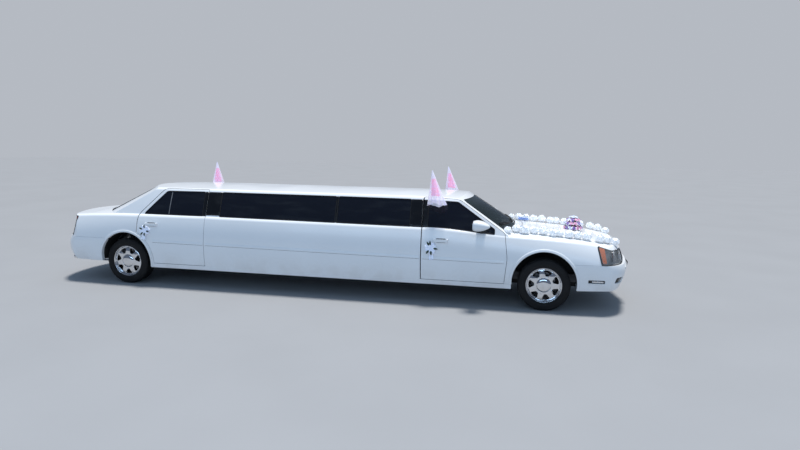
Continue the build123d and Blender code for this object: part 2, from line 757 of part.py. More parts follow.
with BuildPart() as marker_slot:
    with BuildSketch(Plane.XZ.offset(WELL_INNER_HALF)):
        with Locations((FRONT_AXLE + MARKER_REACH, MARKER_LEVEL)):
            RectangleRounded(MARKER_LENGTH, MARKER_HEIGHT, 8)
    extrude(amount=FAR - WELL_INNER_HALF)
with BuildPart() as pockets:
    add(both_sides(marker_slot.part))
    with BuildSketch(Plane.YZ.offset(FRONT_AXLE + POCKET_START)):
        with Locations((0, INTAKE_LEVEL)):
            RectangleRounded(2 * INTAKE_HALF, INTAKE_HEIGHT, 20)
        with Locations((-FOG_MIDDLE, FOG_LEVEL), (FOG_MIDDLE, FOG_LEVEL)):
            RectangleRounded(FOG_LENGTH, FOG_HEIGHT, 18)
    extrude(amount=FRONT_OVERHANG)
    add(pocket_floor.part, mode=Mode.SUBTRACT)
front_bumper_wall = rounded_shell(front_skin, front_core, FRONT_AXLE, 1, FRONT_BUMPER_LEVELS)
with BuildPart() as front_bumper:
    add(front_bumper_wall)
    add(slab((FRONT_AXLE + 300, REACH), (-FAR, FAR), (200, BUMPER_TOP)), mode=Mode.INTERSECT)
    add(wheel_arch(FRONT_AXLE, ARCH_RADIUS), mode=Mode.SUBTRACT)
    add(
        slab((FRONT_AXLE, FRONT_AXLE + 900), (-WELL_INNER_HALF, WELL_INNER_HALF), (0, 600)),
        mode=Mode.SUBTRACT,
    )
    add(plate_holes(FRONT_AXLE + 900, 400, FRONT_PLATE_HEIGHT), mode=Mode.SUBTRACT)
    add(pockets.part, mode=Mode.SUBTRACT)
save(front_bumper.part, "front_bumper")

with BuildPart() as firewall_plate:
    add(slab((FIREWALL, FIREWALL + 30), (-740, 740), (FLOOR_TOP, 1100)))
    add(front_core, mode=Mode.INTERSECT)
with BuildPart() as cowl:
    add(front_wall)
    add(
        slab((COWL_REAR, FRONT_AXLE), (-SILL_INNER_HALF, SILL_INNER_HALF), (800, BODY_HIGH)),
        mode=Mode.INTERSECT,
    )
    add(hood_block(PANEL_GAP), mode=Mode.SUBTRACT)
    add(fenders.part, mode=Mode.SUBTRACT)
    add(both_sides(front_opening), mode=Mode.SUBTRACT)
    add(firewall_plate.part)
save(cowl.part, "cowl")

# Tail: quarter panels with the deck, the trunk lid, tail lamps and bumper
rear_wall = rounded_shell(rear_skin, rear_core, REAR_AXLE, -1, TAIL_LEVELS)


def lid_block(grow):
    """The trunk lid's outline: it opens over the bumper, between the tail lamps."""
    wide = LID_HALF + grow
    return slab((-REACH, LID_FRONT + grow), (-wide, wide), (LID_BOTTOM - grow, BODY_HIGH))


def tail_lamp_block(grow):
    """The tail lamps' outline from the side, outboard of the trunk lid."""
    with BuildPart() as block:
        with BuildSketch(Plane.XZ.offset(TAIL_LAMP_INNER - grow)):
            with BuildLine():
                FilletPolyline(
                    (REAR_AXLE - 1300, REAR_BUMPER_TOP + 14),
                    (REAR_AXLE - 935, REAR_BUMPER_TOP + 14),
                    (REAR_AXLE - 840, TAIL_LAMP_TOP),
                    (REAR_AXLE - 1300, TAIL_LAMP_TOP),
                    radius=12,
                    close=True,
                )
            make_face()
            if grow:
                offset(amount=grow)
        extrude(amount=400)
        mirror(about=Plane.XZ)
    return block.part


with BuildPart() as trunk_lid:
    add(rear_wall)
    add(lid_block(0), mode=Mode.INTERSECT)
with BuildPart() as drilled_lid:
    add(trunk_lid.part)
    add(plate_holes(REAR_AXLE - 1000, -400, REAR_PLATE_HEIGHT), mode=Mode.SUBTRACT)
save(drilled_lid.part, "trunk_lid")
with BuildPart() as tail_lamps:
    add(rear_wall)
    add(tail_lamp_block(0), mode=Mode.INTERSECT)
save(tail_lamps.part, "tail_lamps")
with BuildPart() as rear_flank:
    add(rear_skin)
    add(rear_core, mode=Mode.SUBTRACT)
    add(slab((REAR_AXLE, SILL_REAR - SEAM), (-FAR, FAR), (0, FLANK_TOP)), mode=Mode.INTERSECT)
with BuildPart() as quarters:
    add(rear_wall)
    add(rear_flank.part)
    add(slab((-REACH, SILL_REAR - SEAM), (-FAR, FAR), (0, BODY_HIGH)), mode=Mode.INTERSECT)
    add(both_sides(rear_opening), mode=Mode.SUBTRACT)
    add(lid_block(PANEL_GAP), mode=Mode.SUBTRACT)
    add(tail_lamp_block(SEAM), mode=Mode.SUBTRACT)
    add(wheel_arch(REAR_AXLE, ARCH_RADIUS), mode=Mode.SUBTRACT)
    add(slab((SHELF_FRONT, 0), (-SILL_INNER_HALF, SILL_INNER_HALF), (0, BODY_HIGH)), mode=Mode.SUBTRACT)
    add(slab((-REACH, 0), (-SILL_INNER_HALF, SILL_INNER_HALF), (0, 700)), mode=Mode.SUBTRACT)
    add(slab((-REACH, REAR_AXLE), (-FAR, FAR), (0, REAR_BUMPER_TOP + TRIM_GAP)), mode=Mode.SUBTRACT)
save(quarters.part, "quarter_panels")
rear_bumper_wall = rounded_shell(rear_skin, rear_core, REAR_AXLE, -1, REAR_BUMPER_LEVELS)
with BuildPart() as rear_bumper:
    add(rear_bumper_wall)
    add(slab((-REACH, REAR_AXLE - 300), (-FAR, FAR), (200, REAR_BUMPER_TOP)), mode=Mode.INTERSECT)
    add(wheel_arch(REAR_AXLE, ARCH_RADIUS), mode=Mode.SUBTRACT)
    add(
        slab((REAR_AXLE - 1110, REAR_AXLE), (-WELL_INNER_HALF - 10, WELL_INNER_HALF + 10), (0, 600)),
        mode=Mode.SUBTRACT,
    )
with BuildPart() as bumper_with_buffers:
    add(rear_bumper.part)
    with BuildSketch(Plane.XY.offset(REAR_BUMPER_TOP - 10)):
        with Locations((BUFFER_X, -BUFFER_HALF), (BUFFER_X, BUFFER_HALF)):
            Circle(BUFFER_RADIUS)
    extrude(amount=LID_BOTTOM - SEAM - REAR_BUMPER_TOP + 10)
save(bumper_with_buffers.part, "rear_bumper")

# Grille: a frame with upright bars and cross bars set in the nose
with BuildPart() as grille:
    with BuildSketch(Plane.YZ.offset(FRONT_AXLE + 940)):
        with Locations((0, (GRILLE_BOTTOM + GRILLE_TOP) / 2)):
            Rectangle(2 * GRILLE_HALF - 2 * SEAM, GRILLE_TOP - GRILLE_BOTTOM - 2 * SEAM)
            Rectangle(2 * GRILLE_HALF - 36, GRILLE_TOP - GRILLE_BOTTOM - 30, mode=Mode.SUBTRACT)
    extrude(amount=56)
    with BuildSketch(Plane.YZ.offset(FRONT_AXLE + 950)):
        with Locations((0, (GRILLE_BOTTOM + GRILLE_TOP) / 2)):
            with GridLocations(32, 0, 25, 1):
                Rectangle(7, GRILLE_TOP - GRILLE_BOTTOM - 20)
            with GridLocations(0, 34, 1, 3):
                Rectangle(2 * GRILLE_HALF - 20, 6)
    extrude(amount=30)
save(grille.part, "grille")

# Floor: a tray with its kick-up over the rear axle and the trunk floor behind
with BuildPart() as floor_pan:
    with BuildSketch(Plane.XZ.offset(-FLOOR_HALF)):
        with BuildLine():
            Polyline(
                (FIREWALL + 90, SILL_BOTTOM),
                (REAR_AXLE + 560, SILL_BOTTOM),
                (REAR_AXLE + 360, AXLE_FLOOR - 40),
                (REAR_AXLE - 350, AXLE_FLOOR - 40),
                (REAR_AXLE - 440, TRUNK_FLOOR - 40),
                (REAR_AXLE - 1080, TRUNK_FLOOR - 40),
                (REAR_AXLE - 1080, TRUNK_FLOOR),
                (REAR_AXLE - 480, TRUNK_FLOOR),
                (REAR_AXLE - 390, AXLE_FLOOR),
                (REAR_AXLE + 400, AXLE_FLOOR),
                (REAR_AXLE + 600, FLOOR_TOP),
                (FIREWALL + 90, FLOOR_TOP),
                close=True,
            )
        make_face()
    extrude(amount=2 * FLOOR_HALF)
    for side in (-1, 1):
        add(
            slab(
                (-REACH, REAR_AXLE + ARCH_RADIUS + 45),
                sorted((side * WELL_INNER_HALF, side * FAR)),
                (0, 800),
            ),
            mode=Mode.SUBTRACT,
        )
    with BuildSketch(Plane.XY.offset(SILL_BOTTOM - JACK_PAD_DROP)):
        for x in (FRONT_AXLE - JACK_PAD_REACH, REAR_AXLE + JACK_PAD_REACH):
            with Locations((x, -JACK_PAD_HALF), (x, JACK_PAD_HALF)):
                Rectangle(JACK_PAD_LENGTH, JACK_PAD_WIDTH)
    extrude(amount=JACK_PAD_DROP + 10)
save(floor_pan.part, "floor_pan")

# Wheel liners: half drums behind the arches
with BuildPart() as inner_front:
    add(lower_body(FRONT_SECTIONS, SKIN_WALL + 2 * SEAM))
with BuildPart() as inner_rear:
    add(lower_body(REAR_SECTIONS, SKIN_WALL + 2 * SEAM))
liners = []
for axle, inner, form in (
    (FRONT_AXLE, WELL_INNER_HALF, inner_front.part),
    (REAR_AXLE, WELL_INNER_HALF, inner_rear.part),
):
    with BuildPart() as liner:
        with BuildSketch(Plane.XZ.offset(inner)):
            with Locations((axle, ARCH_HEIGHT)):
                Circle(ARCH_RADIUS + 20)
                Circle(ARCH_RADIUS + 8, mode=Mode.SUBTRACT)
            with Locations((axle, ARCH_HEIGHT - 500)):
                Rectangle(1200, 960, mode=Mode.SUBTRACT)
        extrude(amount=350)
        add(form, mode=Mode.INTERSECT)
    liners.append(both_sides(liner.part))
with BuildPart() as wheel_liners:
    for liner in liners:
        add(liner)
save(wheel_liners.part, "wheel_liners")

# Wheels: a tyre and a spoked rim, turned about the axle's line. Tyre columns: radius, half width.
TYRE_PROFILE = [
    (RIM_SEAT_RADIUS + SEAM, 80.0),
    (RIM_RADIUS + 34.0, 108.0),
    (TYRE_RADIUS - 28.0, 110.0),
    (TYRE_RADIUS, 82.0),
]


def wheel(axle, half_track, side, name):
    """The tyre and the rim of one wheel, on its spindle's line."""
    middle = (axle, side * half_track, TYRE_RADIUS)
    hub = Plane(origin=middle, x_dir=(1, 0, 0), z_dir=(0, side, 0))
    turned = Plane(origin=middle, x_dir=(0, side, 0), z_dir=(-side, 0, 0))
    with BuildPart() as tyre:
        with BuildSketch(turned):
            with BuildLine():
                outer = [(half, radius) for radius, half in TYRE_PROFILE]
                inner = [(-half, radius) for half, radius in reversed(outer)]
                Polyline(*outer, *inner, close=True)
            make_face()
        revolve(axis=Axis(middle, (0, 1, 0)))
    save(tyre.part, f"tyre_{name}")
    with BuildPart() as rim:
        with BuildSketch(turned):
            with BuildLine():
                Polyline(
                    (-SEAT_HALF, RIM_SEAT_RADIUS),
                    (SEAT_HALF, RIM_SEAT_RADIUS),
                    (SEAT_HALF + 4, RIM_RADIUS),
                    (FLANGE_HALF, RIM_RADIUS),
                    (FLANGE_HALF, RIM_RADIUS - 8),
                    (SEAT_HALF - 6, RIM_SEAT_RADIUS - RIM_WALL),
                    (-SEAT_HALF, RIM_SEAT_RADIUS - RIM_WALL),
                    (-FLANGE_HALF, RIM_RADIUS - 8),
                    (-FLANGE_HALF, RIM_RADIUS),
                    (-SEAT_HALF - 4, RIM_RADIUS),
                    close=True,
                )
            make_face()
        revolve(axis=Axis(middle, (0, 1, 0)))
        with BuildSketch(hub.offset(SPOKE_PLANE)):
            Circle(RIM_SEAT_RADIUS - RIM_WALL / 2)
            middle_radius = (WHEEL_WINDOW_NEAR + WHEEL_WINDOW_FAR) / 2
            depth = (WHEEL_WINDOW_FAR - WHEEL_WINDOW_NEAR) / 2
            with PolarLocations(middle_radius, SPOKES, start_angle=-side * 90):
                Polygon(
                    (-depth, -WHEEL_WINDOW_NEAR_HALF),
                    (depth, -WHEEL_WINDOW_FAR_HALF),
                    (depth, WHEEL_WINDOW_FAR_HALF),
                    (-depth, WHEEL_WINDOW_NEAR_HALF),
                    mode=Mode.SUBTRACT,
                )
        extrude(amount=SPOKE_THICK)
        with BuildSketch(hub.offset(-HUB_BACK)):
            Circle(HUB_RADIUS)
        extrude(amount=HUB_BACK + HUB_FRONT)
        with BuildSketch(hub.offset(-HUB_BACK)):
            Circle(HUB_BORE_RADIUS)
        extrude(amount=HUB_BACK + SPOKE_PLANE, mode=Mode.SUBTRACT)
    save(rim.part, f"rim_{name}")


for axle, half_track, end in ((FRONT_AXLE, FRONT_TRACK / 2, "front"), (REAR_AXLE, REAR_TRACK / 2, "rear")):
    for side, hand in ((-1, "right"), (1, "left")):
        wheel(axle, half_track, side, f"{end}_{hand}")

# Front suspension: a subframe on two rails, arms that end in kingpin sockets, and the knuckles
KNUCKLE_LOW = 196.0
KNUCKLE_HIGH = 476.0
PIN_RADIUS = 14.0
RAIL_INNER = 400.0
RAIL_OUTER = 470.0
ARM_THICK = 26.0
with BuildPart() as knuckle_right:
    with BuildSketch(Plane(origin=(FRONT_AXLE, -KINGPIN_HALF, KNUCKLE_LOW))):
        Circle(26)
    extrude(amount=KNUCKLE_HIGH - KNUCKLE_LOW)
    with BuildSketch(Plane(origin=(FRONT_AXLE, -KINGPIN_HALF, KNUCKLE_LOW - ARM_THICK))):
        Circle(PIN_RADIUS)
    extrude(amount=KNUCKLE_HIGH - KNUCKLE_LOW + 2 * ARM_THICK)
    hub = Plane(origin=(FRONT_AXLE, -KINGPIN_HALF, TYRE_RADIUS), x_dir=(1, 0, 0), z_dir=(0, -1, 0))
    with BuildSketch(hub):
        Circle(SPINDLE_RADIUS)
    extrude(amount=FRONT_TRACK / 2 - KINGPIN_HALF + SPINDLE_END)
    with BuildSketch(hub.offset(16)):
        Circle(60)
    extrude(amount=22)
save(knuckle_right.part, "knuckle_right")
save(on_left(knuckle_right.part), "knuckle_left")

with BuildPart() as subframe:
    with BuildSketch(Plane.XY.offset(230)):
        with Locations((FRONT_AXLE, 0)):
            Rectangle(150, 2 * RAIL_OUTER)
    extrude(amount=90)
    for side in (-1, 1):
        with BuildSketch(Plane.XY.offset(FLOOR_TOP + SEAM)):
            with Locations((FRONT_AXLE + 150, side * (RAIL_INNER + RAIL_OUTER) / 2)):
                Rectangle(1280, RAIL_OUTER - RAIL_INNER)
        extrude(amount=100)
        with BuildSketch(Plane.XY.offset(320)):
            with Locations((FRONT_AXLE, side * (RAIL_INNER + RAIL_OUTER) / 2)):
                Rectangle(150, RAIL_OUTER - RAIL_INNER)
        extrude(amount=KNUCKLE_HIGH - 320 + 60)
        for level in (KNUCKLE_LOW - ARM_THICK - SEAM, KNUCKLE_HIGH + SEAM):
            with BuildSketch(Plane.XY.offset(level)):
                with BuildLine():
                    Polyline(
                        (FRONT_AXLE - 70, side * (RAIL_OUTER - 20)),
                        (FRONT_AXLE + 70, side * (RAIL_OUTER - 20)),
                        (FRONT_AXLE + 24, side * (KINGPIN_HALF + 6)),
                        (FRONT_AXLE - 24, side * (KINGPIN_HALF + 6)),
                        close=True,
                    )
                make_face()
                with Locations((FRONT_AXLE, side * KINGPIN_HALF)):
                    Circle(28)
                    Circle(PIN_RADIUS + SEAM, mode=Mode.SUBTRACT)
            extrude(amount=ARM_THICK)
        with BuildSketch(Plane.XY.offset(KNUCKLE_LOW - ARM_THICK - SEAM)):
            with Locations((FRONT_AXLE, side * (RAIL_OUTER - 35))):
                Rectangle(140, 70)
        extrude(amount=230 - KNUCKLE_LOW + ARM_THICK + SEAM)
save(subframe.part, "front_suspension")

# Rear axle: a beam with its differential, spindles, trailing arms and springs
with BuildPart() as rear_axle:
    with BuildSketch(Plane.XZ.offset(-REAR_TRACK / 2 + 90)):
        with Locations((REAR_AXLE, TYRE_RADIUS)):
            Circle(42)
    extrude(amount=REAR_TRACK - 180)
    with BuildSketch(Plane.XZ.offset(-REAR_TRACK / 2 - SPINDLE_END)):
        with Locations((REAR_AXLE, TYRE_RADIUS)):
            Circle(SPINDLE_RADIUS)
    extrude(amount=REAR_TRACK + 2 * SPINDLE_END)
    with Locations((REAR_AXLE, 0, TYRE_RADIUS)):
        Sphere(118)
    for side in (-1, 1):
        with BuildSketch(Plane(origin=(REAR_AXLE, side * 480, TYRE_RADIUS))):
            Circle(56)
        extrude(amount=AXLE_FLOOR - 40 - SEAM - TYRE_RADIUS)
        with BuildSketch(Plane.XZ.offset(-side * 560 - 25)):
            with BuildLine():
                Polyline(
                    (REAR_AXLE - 40, TYRE_RADIUS - 60),
                    (REAR_AXLE + 640, SILL_BOTTOM - 50),
                    (REAR_AXLE + 640, SILL_BOTTOM - SEAM),
                    (REAR_AXLE + 560, SILL_BOTTOM - SEAM),
                    (REAR_AXLE + 40, TYRE_RADIUS + 30),
                    (REAR_AXLE - 40, TYRE_RADIUS + 30),
                    close=True,
                )
            make_face()
        extrude(amount=50)
save(rear_axle.part, "rear_axle")

# Power unit and underbody
save(slab((FRONT_AXLE - 420, FRONT_AXLE + 520), (-330, 330), (320 + SEAM, 800)), "engine")
with BuildPart() as exhaust:
    with BuildSketch(Plane.YZ.offset(REAR_AXLE + 900)):
        with Locations((-260, SILL_BOTTOM - 52 - SEAM)):
            Ellipse(110, 52)
    extrude(amount=700)
    with BuildSketch(Plane.YZ.offset(REAR_AXLE + 1500)):
        with Locations((-260, SILL_BOTTOM - 52 - SEAM)):
            Circle(32)
    extrude(amount=FRONT_AXLE - 700 - REAR_AXLE - 1500)
save(exhaust.part, "exhaust")
save(slab((REAR_AXLE - 1020, REAR_AXLE - 480), (-420, 420), (210, TRUNK_FLOOR - 40 - SEAM)), "fuel_tank")

# Cabin: dashboard, seats, partition, lounge and bar
with BuildPart() as dashboard:
    with BuildSketch(Plane.XZ.offset(-735)):
        with BuildLine():
            FilletPolyline(
                (FIREWALL - SEAM, 700),
                (FIREWALL - SEAM, 925),
                (FIREWALL - 230, 945),
                (FIREWALL - 310, 880),
                (FIREWALL - 270, 720),
                radius=28,
                close=True,
            )
        make_face()
    extrude(amount=1470)

SEAT_X = FRONT_AXLE - 1560.0
SEAT_MIDDLE = 370.0
with BuildPart() as front_seats:
    for middle in (-SEAT_MIDDLE, SEAT_MIDDLE):
        with BuildSketch(Plane.XZ.offset(middle - 255)):
            with BuildLine():
                FilletPolyline(
                    (SEAT_X + 20, FLOOR_TOP + SEAM),
                    (SEAT_X + 520, FLOOR_TOP + SEAM),
                    (SEAT_X + 560, 560),
                    (SEAT_X + 150, 540),
                    (SEAT_X + 60, 1080),
                    (SEAT_X - 40, 1080),
                    radius=36,
                    close=True,
                )
            make_face()
        extrude(amount=510)
save(front_seats.part, "front_seats")
with BuildPart() as partition_head:
    add(slab((FRONT_AXLE - 1670, FRONT_AXLE - 1640), (-FLOOR_HALF, FLOOR_HALF), (935, 1300)))
    add(glasshouse(FRAME_WALL + SEAM), mode=Mode.INTERSECT)
with BuildPart() as partition:
    add(slab((FRONT_AXLE - 1670, FRONT_AXLE - 1640), (-FLOOR_HALF, FLOOR_HALF), (FLOOR_TOP + SEAM, 935)))
    add(partition_head.part)
save(partition.part, "partition")
with BuildPart() as lounge_seats:
    with BuildSketch(Plane.XZ.offset(-620)):
        with BuildLine():
            FilletPolyline(
                (REAR_AXLE - 20, AXLE_FLOOR + SEAM),
                (REAR_AXLE + 560, AXLE_FLOOR + SEAM),
                (REAR_AXLE + 590, 640),
                (REAR_AXLE + 190, 620),
                (REAR_AXLE + 90, 1130),
                (REAR_AXLE - 30, 1130),
                radius=32,
                close=True,
            )
        make_face()
    extrude(amount=1240)
    with BuildSketch(Plane.YZ.offset(REAR_AXLE + 1360)):
        with BuildLine():
            FilletPolyline(
                (770, FLOOR_TOP + SEAM),
                (330, FLOOR_TOP + SEAM),
                (310, 560),
                (620, 560),
                (690, 960),
                (770, 960),
                radius=32,
                close=True,
            )
        make_face()
    extrude(amount=FRONT_AXLE - 1720 - REAR_AXLE - 1360)
save(lounge_seats.part, "lounge_seats")
with BuildPart() as bar:
    with BuildSketch(Plane.YZ.offset(REAR_AXLE + 1500)):
        with BuildLine():
            FilletPolyline(
                (-770, FLOOR_TOP + SEAM),
                (-500, FLOOR_TOP + SEAM),
                (-480, 780),
                (-770, 800),
                radius=14,
                close=True,
            )
        make_face()
    extrude(amount=FRONT_AXLE - 1760 - REAR_AXLE - 1500)
save(bar.part, "bar_console")

# Steering wheel on its column, which runs into the dashboard
COLUMN_LENGTH = 190.0
COLUMN_RADIUS = 22.0
COLUMN_RAKE = radians(24.0)
COLUMN = Plane(
    origin=(FRONT_AXLE - 1010, SEAT_MIDDLE, 905),
    x_dir=(0, 1, 0),
    z_dir=(-cos(COLUMN_RAKE), 0, sin(COLUMN_RAKE)),
)
STEERING_RADIUS = 178.0
STEERING_GRIP = 14.0
with BuildPart() as steering_wheel:
    with BuildSketch(
        Plane(
            origin=COLUMN.origin + COLUMN.x_dir * STEERING_RADIUS, x_dir=COLUMN.x_dir, z_dir=COLUMN.y_dir
        )
    ):
        RegularPolygon(STEERING_GRIP, 6)
    revolve(axis=Axis(COLUMN.origin, COLUMN.z_dir))
    with BuildSketch(COLUMN.offset(-STEERING_GRIP)):
        Rectangle(2 * STEERING_RADIUS - 6, 30)
        Circle(46)
    extrude(amount=20)
    with BuildSketch(COLUMN.offset(-COLUMN_LENGTH)):
        Circle(COLUMN_RADIUS)
    extrude(amount=COLUMN_LENGTH)
save(steering_wheel.part, "steering_wheel")
with BuildPart() as dashboard_bored:
    add(dashboard.part)
    with BuildSketch(COLUMN.offset(-COLUMN_LENGTH - 8)):
        Circle(COLUMN_RADIUS + SEAM)
    extrude(amount=COLUMN_LENGTH + 8, mode=Mode.SUBTRACT)
save(dashboard_bored.part, "dashboard")

# Mirrors on the front doors. Columns of the outline: distance from the middle, height.
MIRROR_REAR = -905.0
MIRROR_DEPTH = 190.0
MIRROR_OUTLINE = [
    (-830.0, 985.0),
    (-830.0, 1062.0),
    (-915.0, 1136.0),
    (-990.0, 1149.0),
    (-1086.0, 1146.0),
    (-1108.0, 1080.0),
    (-1096.0, 1006.0),
    (-930.0, 1000.0),
    (-880.0, 855.0),
]
with BuildPart() as mirror_right:
    with BuildSketch(Plane.YZ.offset(FRONT_AXLE + MIRROR_REAR)):
        with BuildLine():
            FilletPolyline(*MIRROR_OUTLINE, radius=26, close=True)
        make_face()
    extrude(amount=MIRROR_DEPTH)
    add(house_clear, mode=Mode.SUBTRACT)
    add(front_clear, mode=Mode.SUBTRACT)
save(mirror_right.part, "mirror_right")
save(on_left(mirror_right.part), "mirror_left")


def tulle_cone(x, tip_x):
    """A right-hand cone of tulle that stands against the top of a door."""
    with BuildPart() as cone:
        with BuildSketch(Plane.XY.offset(CONE_FOOT)):
            with Locations((x, -CONE_FOOT_HALF)):
                Circle(CONE_FOOT_RADIUS)
        with BuildSketch(Plane.XY.offset(CONE_TIP)):
            with Locations((tip_x, -CONE_TIP_HALF)):
                Circle(CONE_TIP_RADIUS)
        loft()
        add(house_clear, mode=Mode.SUBTRACT)
    return cone.part


def handle_bow(x, z, length, height, skin_half, clear):
    """A right-hand bow with its leaves, hanging on the skin under a door handle."""
    with BuildPart() as bow:
        with BuildSketch(Plane.XZ.offset(skin_half - 20)):
            with Locations((x, z)):
                Ellipse(length / 2, height / 2)
        extrude(amount=20 + BOW_REACH)
        add(clear, mode=Mode.SUBTRACT)
    return bow.part


# Wedding dressing: tulle cones and bows on the doors, a garland and a bouquet on the hood
CONE_FOOT = 1300.0
CONE_FOOT_HALF = 838.0
CONE_FOOT_RADIUS = 112.0
CONE_TIP = 1758.0
CONE_TIP_HALF = 790.0
CONE_TIP_RADIUS = 9.0
BOW_REACH = 42.0
front_bow = handle_bow(FRONT_DOOR_REAR + 135, 715, 190, 230, 935, front_clear)
rear_bow = handle_bow(REAR_DOOR_REAR + 190, 790, 180, 170, 935, rear_clear)
front_cone = tulle_cone(FRONT_DOOR_REAR + 180, FRONT_DOOR_REAR + 105)
rear_cone = tulle_cone(REAR_DOOR_REAR + 346, REAR_DOOR_REAR + 352)
with BuildPart() as front_dressing:
    add(front_bow)
    add(front_cone)
with BuildPart() as rear_dressing:
    add(rear_bow)
    add(rear_cone)
save(front_dressing.part, "dressing_front_right")
save(on_left(front_dressing.part), "dressing_front_left")
save(rear_bow, "dressing_rear_right")
save(on_left(rear_dressing.part), "dressing_rear_left")

PUFF_RADIUS = 50.0
PUFF_STEP = 107.0
PUFF_HALF = 672.0
PUFF_TAPER = 58.0
PUFF_COUNT = 11
PUFF_START = FRONT_AXLE - 335.0
PUFF_HEIGHT = 88.0
BOUQUET_RADIUS = 125.0
BOUQUET_TOP = 1125.0
BOUQUET_FOOT = 880.0
with BuildPart() as hood_lower_face:
    add(front_clear)
    add(rounded_end(FRONT_AXLE, 1, NOSE_LEVELS, -SEAM), mode=Mode.INTERSECT)
with BuildPart() as hood_garland:
    with BuildSketch(Plane.XY.offset(HOOD_TOP_EDGE + 20)):
        for step in range(PUFF_COUNT):
            half = PUFF_HALF - PUFF_TAPER * step / PUFF_COUNT
            x = PUFF_START + step * PUFF_STEP
            with Locations((x, -half), (x, half)):
                Circle(PUFF_RADIUS)
    extrude(amount=300)
    add(lower_body(FRONT_SECTIONS, -PUFF_HEIGHT), mode=Mode.INTERSECT)
    add(rounded_end(FRONT_AXLE, 1, NOSE_LEVELS, -PUFF_HEIGHT), mode=Mode.INTERSECT)
    with BuildSketch(Plane.XY.offset(BOUQUET_FOOT)):
        with Locations((FRONT_AXLE + 350, 0)):
            Circle(BOUQUET_RADIUS)
    extrude(amount=BOUQUET_TOP - BOUQUET_FOOT)
    fillet(hood_garland.edges().group_by(Axis.Z)[-1], 60)
    add(hood_lower_face.part, mode=Mode.SUBTRACT)
save(hood_garland.part, "hood_garland")
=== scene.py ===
"""Looks for a wedding limousine: paint, glass, wheels, lamps, trim, cabin and dressing, laid over
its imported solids. Metres, +X forward, +Y to the car's left, +Z up, origin on the ground."""

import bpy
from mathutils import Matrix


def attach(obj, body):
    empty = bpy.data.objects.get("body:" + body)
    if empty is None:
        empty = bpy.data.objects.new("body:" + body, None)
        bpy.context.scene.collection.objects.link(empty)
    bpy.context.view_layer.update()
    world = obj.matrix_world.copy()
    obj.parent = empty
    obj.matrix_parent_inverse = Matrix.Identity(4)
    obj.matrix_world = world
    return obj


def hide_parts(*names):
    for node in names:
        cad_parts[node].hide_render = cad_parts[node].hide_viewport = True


bl_info = {
    "name": "Wedding Limousine Looks",
    "version": (1, 0, 0),
    "blender": (4, 5, 0),
    "location": "View3D > Sidebar > Limousine",
    "description": "Builds the visible finish of a stretch limousine over its packed solids",
    "category": "Object",
}

import math
import random

import bmesh
import bpy
from bpy.props import FloatProperty, FloatVectorProperty, IntProperty, PointerProperty
from mathutils import Matrix, Vector
from mathutils.bvhtree import BVHTree

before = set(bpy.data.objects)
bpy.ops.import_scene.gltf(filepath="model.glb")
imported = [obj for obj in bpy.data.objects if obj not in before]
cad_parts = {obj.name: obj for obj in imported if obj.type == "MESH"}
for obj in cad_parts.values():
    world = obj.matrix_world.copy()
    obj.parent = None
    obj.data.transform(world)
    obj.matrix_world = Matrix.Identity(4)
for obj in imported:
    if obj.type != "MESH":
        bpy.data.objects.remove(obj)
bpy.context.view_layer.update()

FRONT_AXLE = 3.073
REAR_AXLE = -2.904
AXLE_HEIGHT = 0.332
ARCH_HEIGHT = 0.360
ARCH_RADIUS = 0.404
HALF_TRACKS = {"front": 0.7965, "rear": 0.790}
HANDS = {"right": -1, "left": 1}
CORNERS = [(end, hand) for end in ("front", "rear") for hand in HANDS]
STATION_STEP = 0.03


# Shader and geometry graphs

class Wire:
    """An output socket, with arithmetic that adds Math nodes to its graph."""

    def __init__(self, graph, socket):
        self.graph = graph
        self.socket = socket

    def maths(self, operation, *values):
        return self.graph.node("ShaderNodeMath", {"operation": operation}, values)

    def __add__(self, other):
        return self.maths("ADD", self, other)

    def __sub__(self, other):
        return self.maths("SUBTRACT", self, other)

    def __rsub__(self, other):
        return self.maths("SUBTRACT", other, self)

    def __mul__(self, other):
        return self.maths("MULTIPLY", self, other)

    def __truediv__(self, other):
        return self.maths("DIVIDE", self, other)

    __radd__ = __add__
    __rmul__ = __mul__

    def wave(self):
        return self.maths("SINE", self)

    def between(self, low, high):
        """0 at low and 1 at high, eased between them."""
        ends = {"Value": self, "From Min": low, "From Max": high}
        return self.graph.node("ShaderNodeMapRange", {"interpolation_type": "SMOOTHSTEP"}, ends)


class Graph:
    """A node tree whose nodes are made by type, settings and inputs."""

    def __init__(self, tree):
        self.tree = tree

    def node(self, kind, settings=None, inputs=(), output=0):
        made = self.tree.nodes.new(kind)
        for key, value in (settings or {}).items():
            setattr(made, key, value)
        pairs = inputs.items() if isinstance(inputs, dict) else enumerate(inputs)
        for key, value in pairs:
            if isinstance(value, Wire):
                self.tree.links.new(value.socket, made.inputs[key])
            elif value is not None:
                made.inputs[key].default_value = value
        return Wire(self, made.outputs[output])


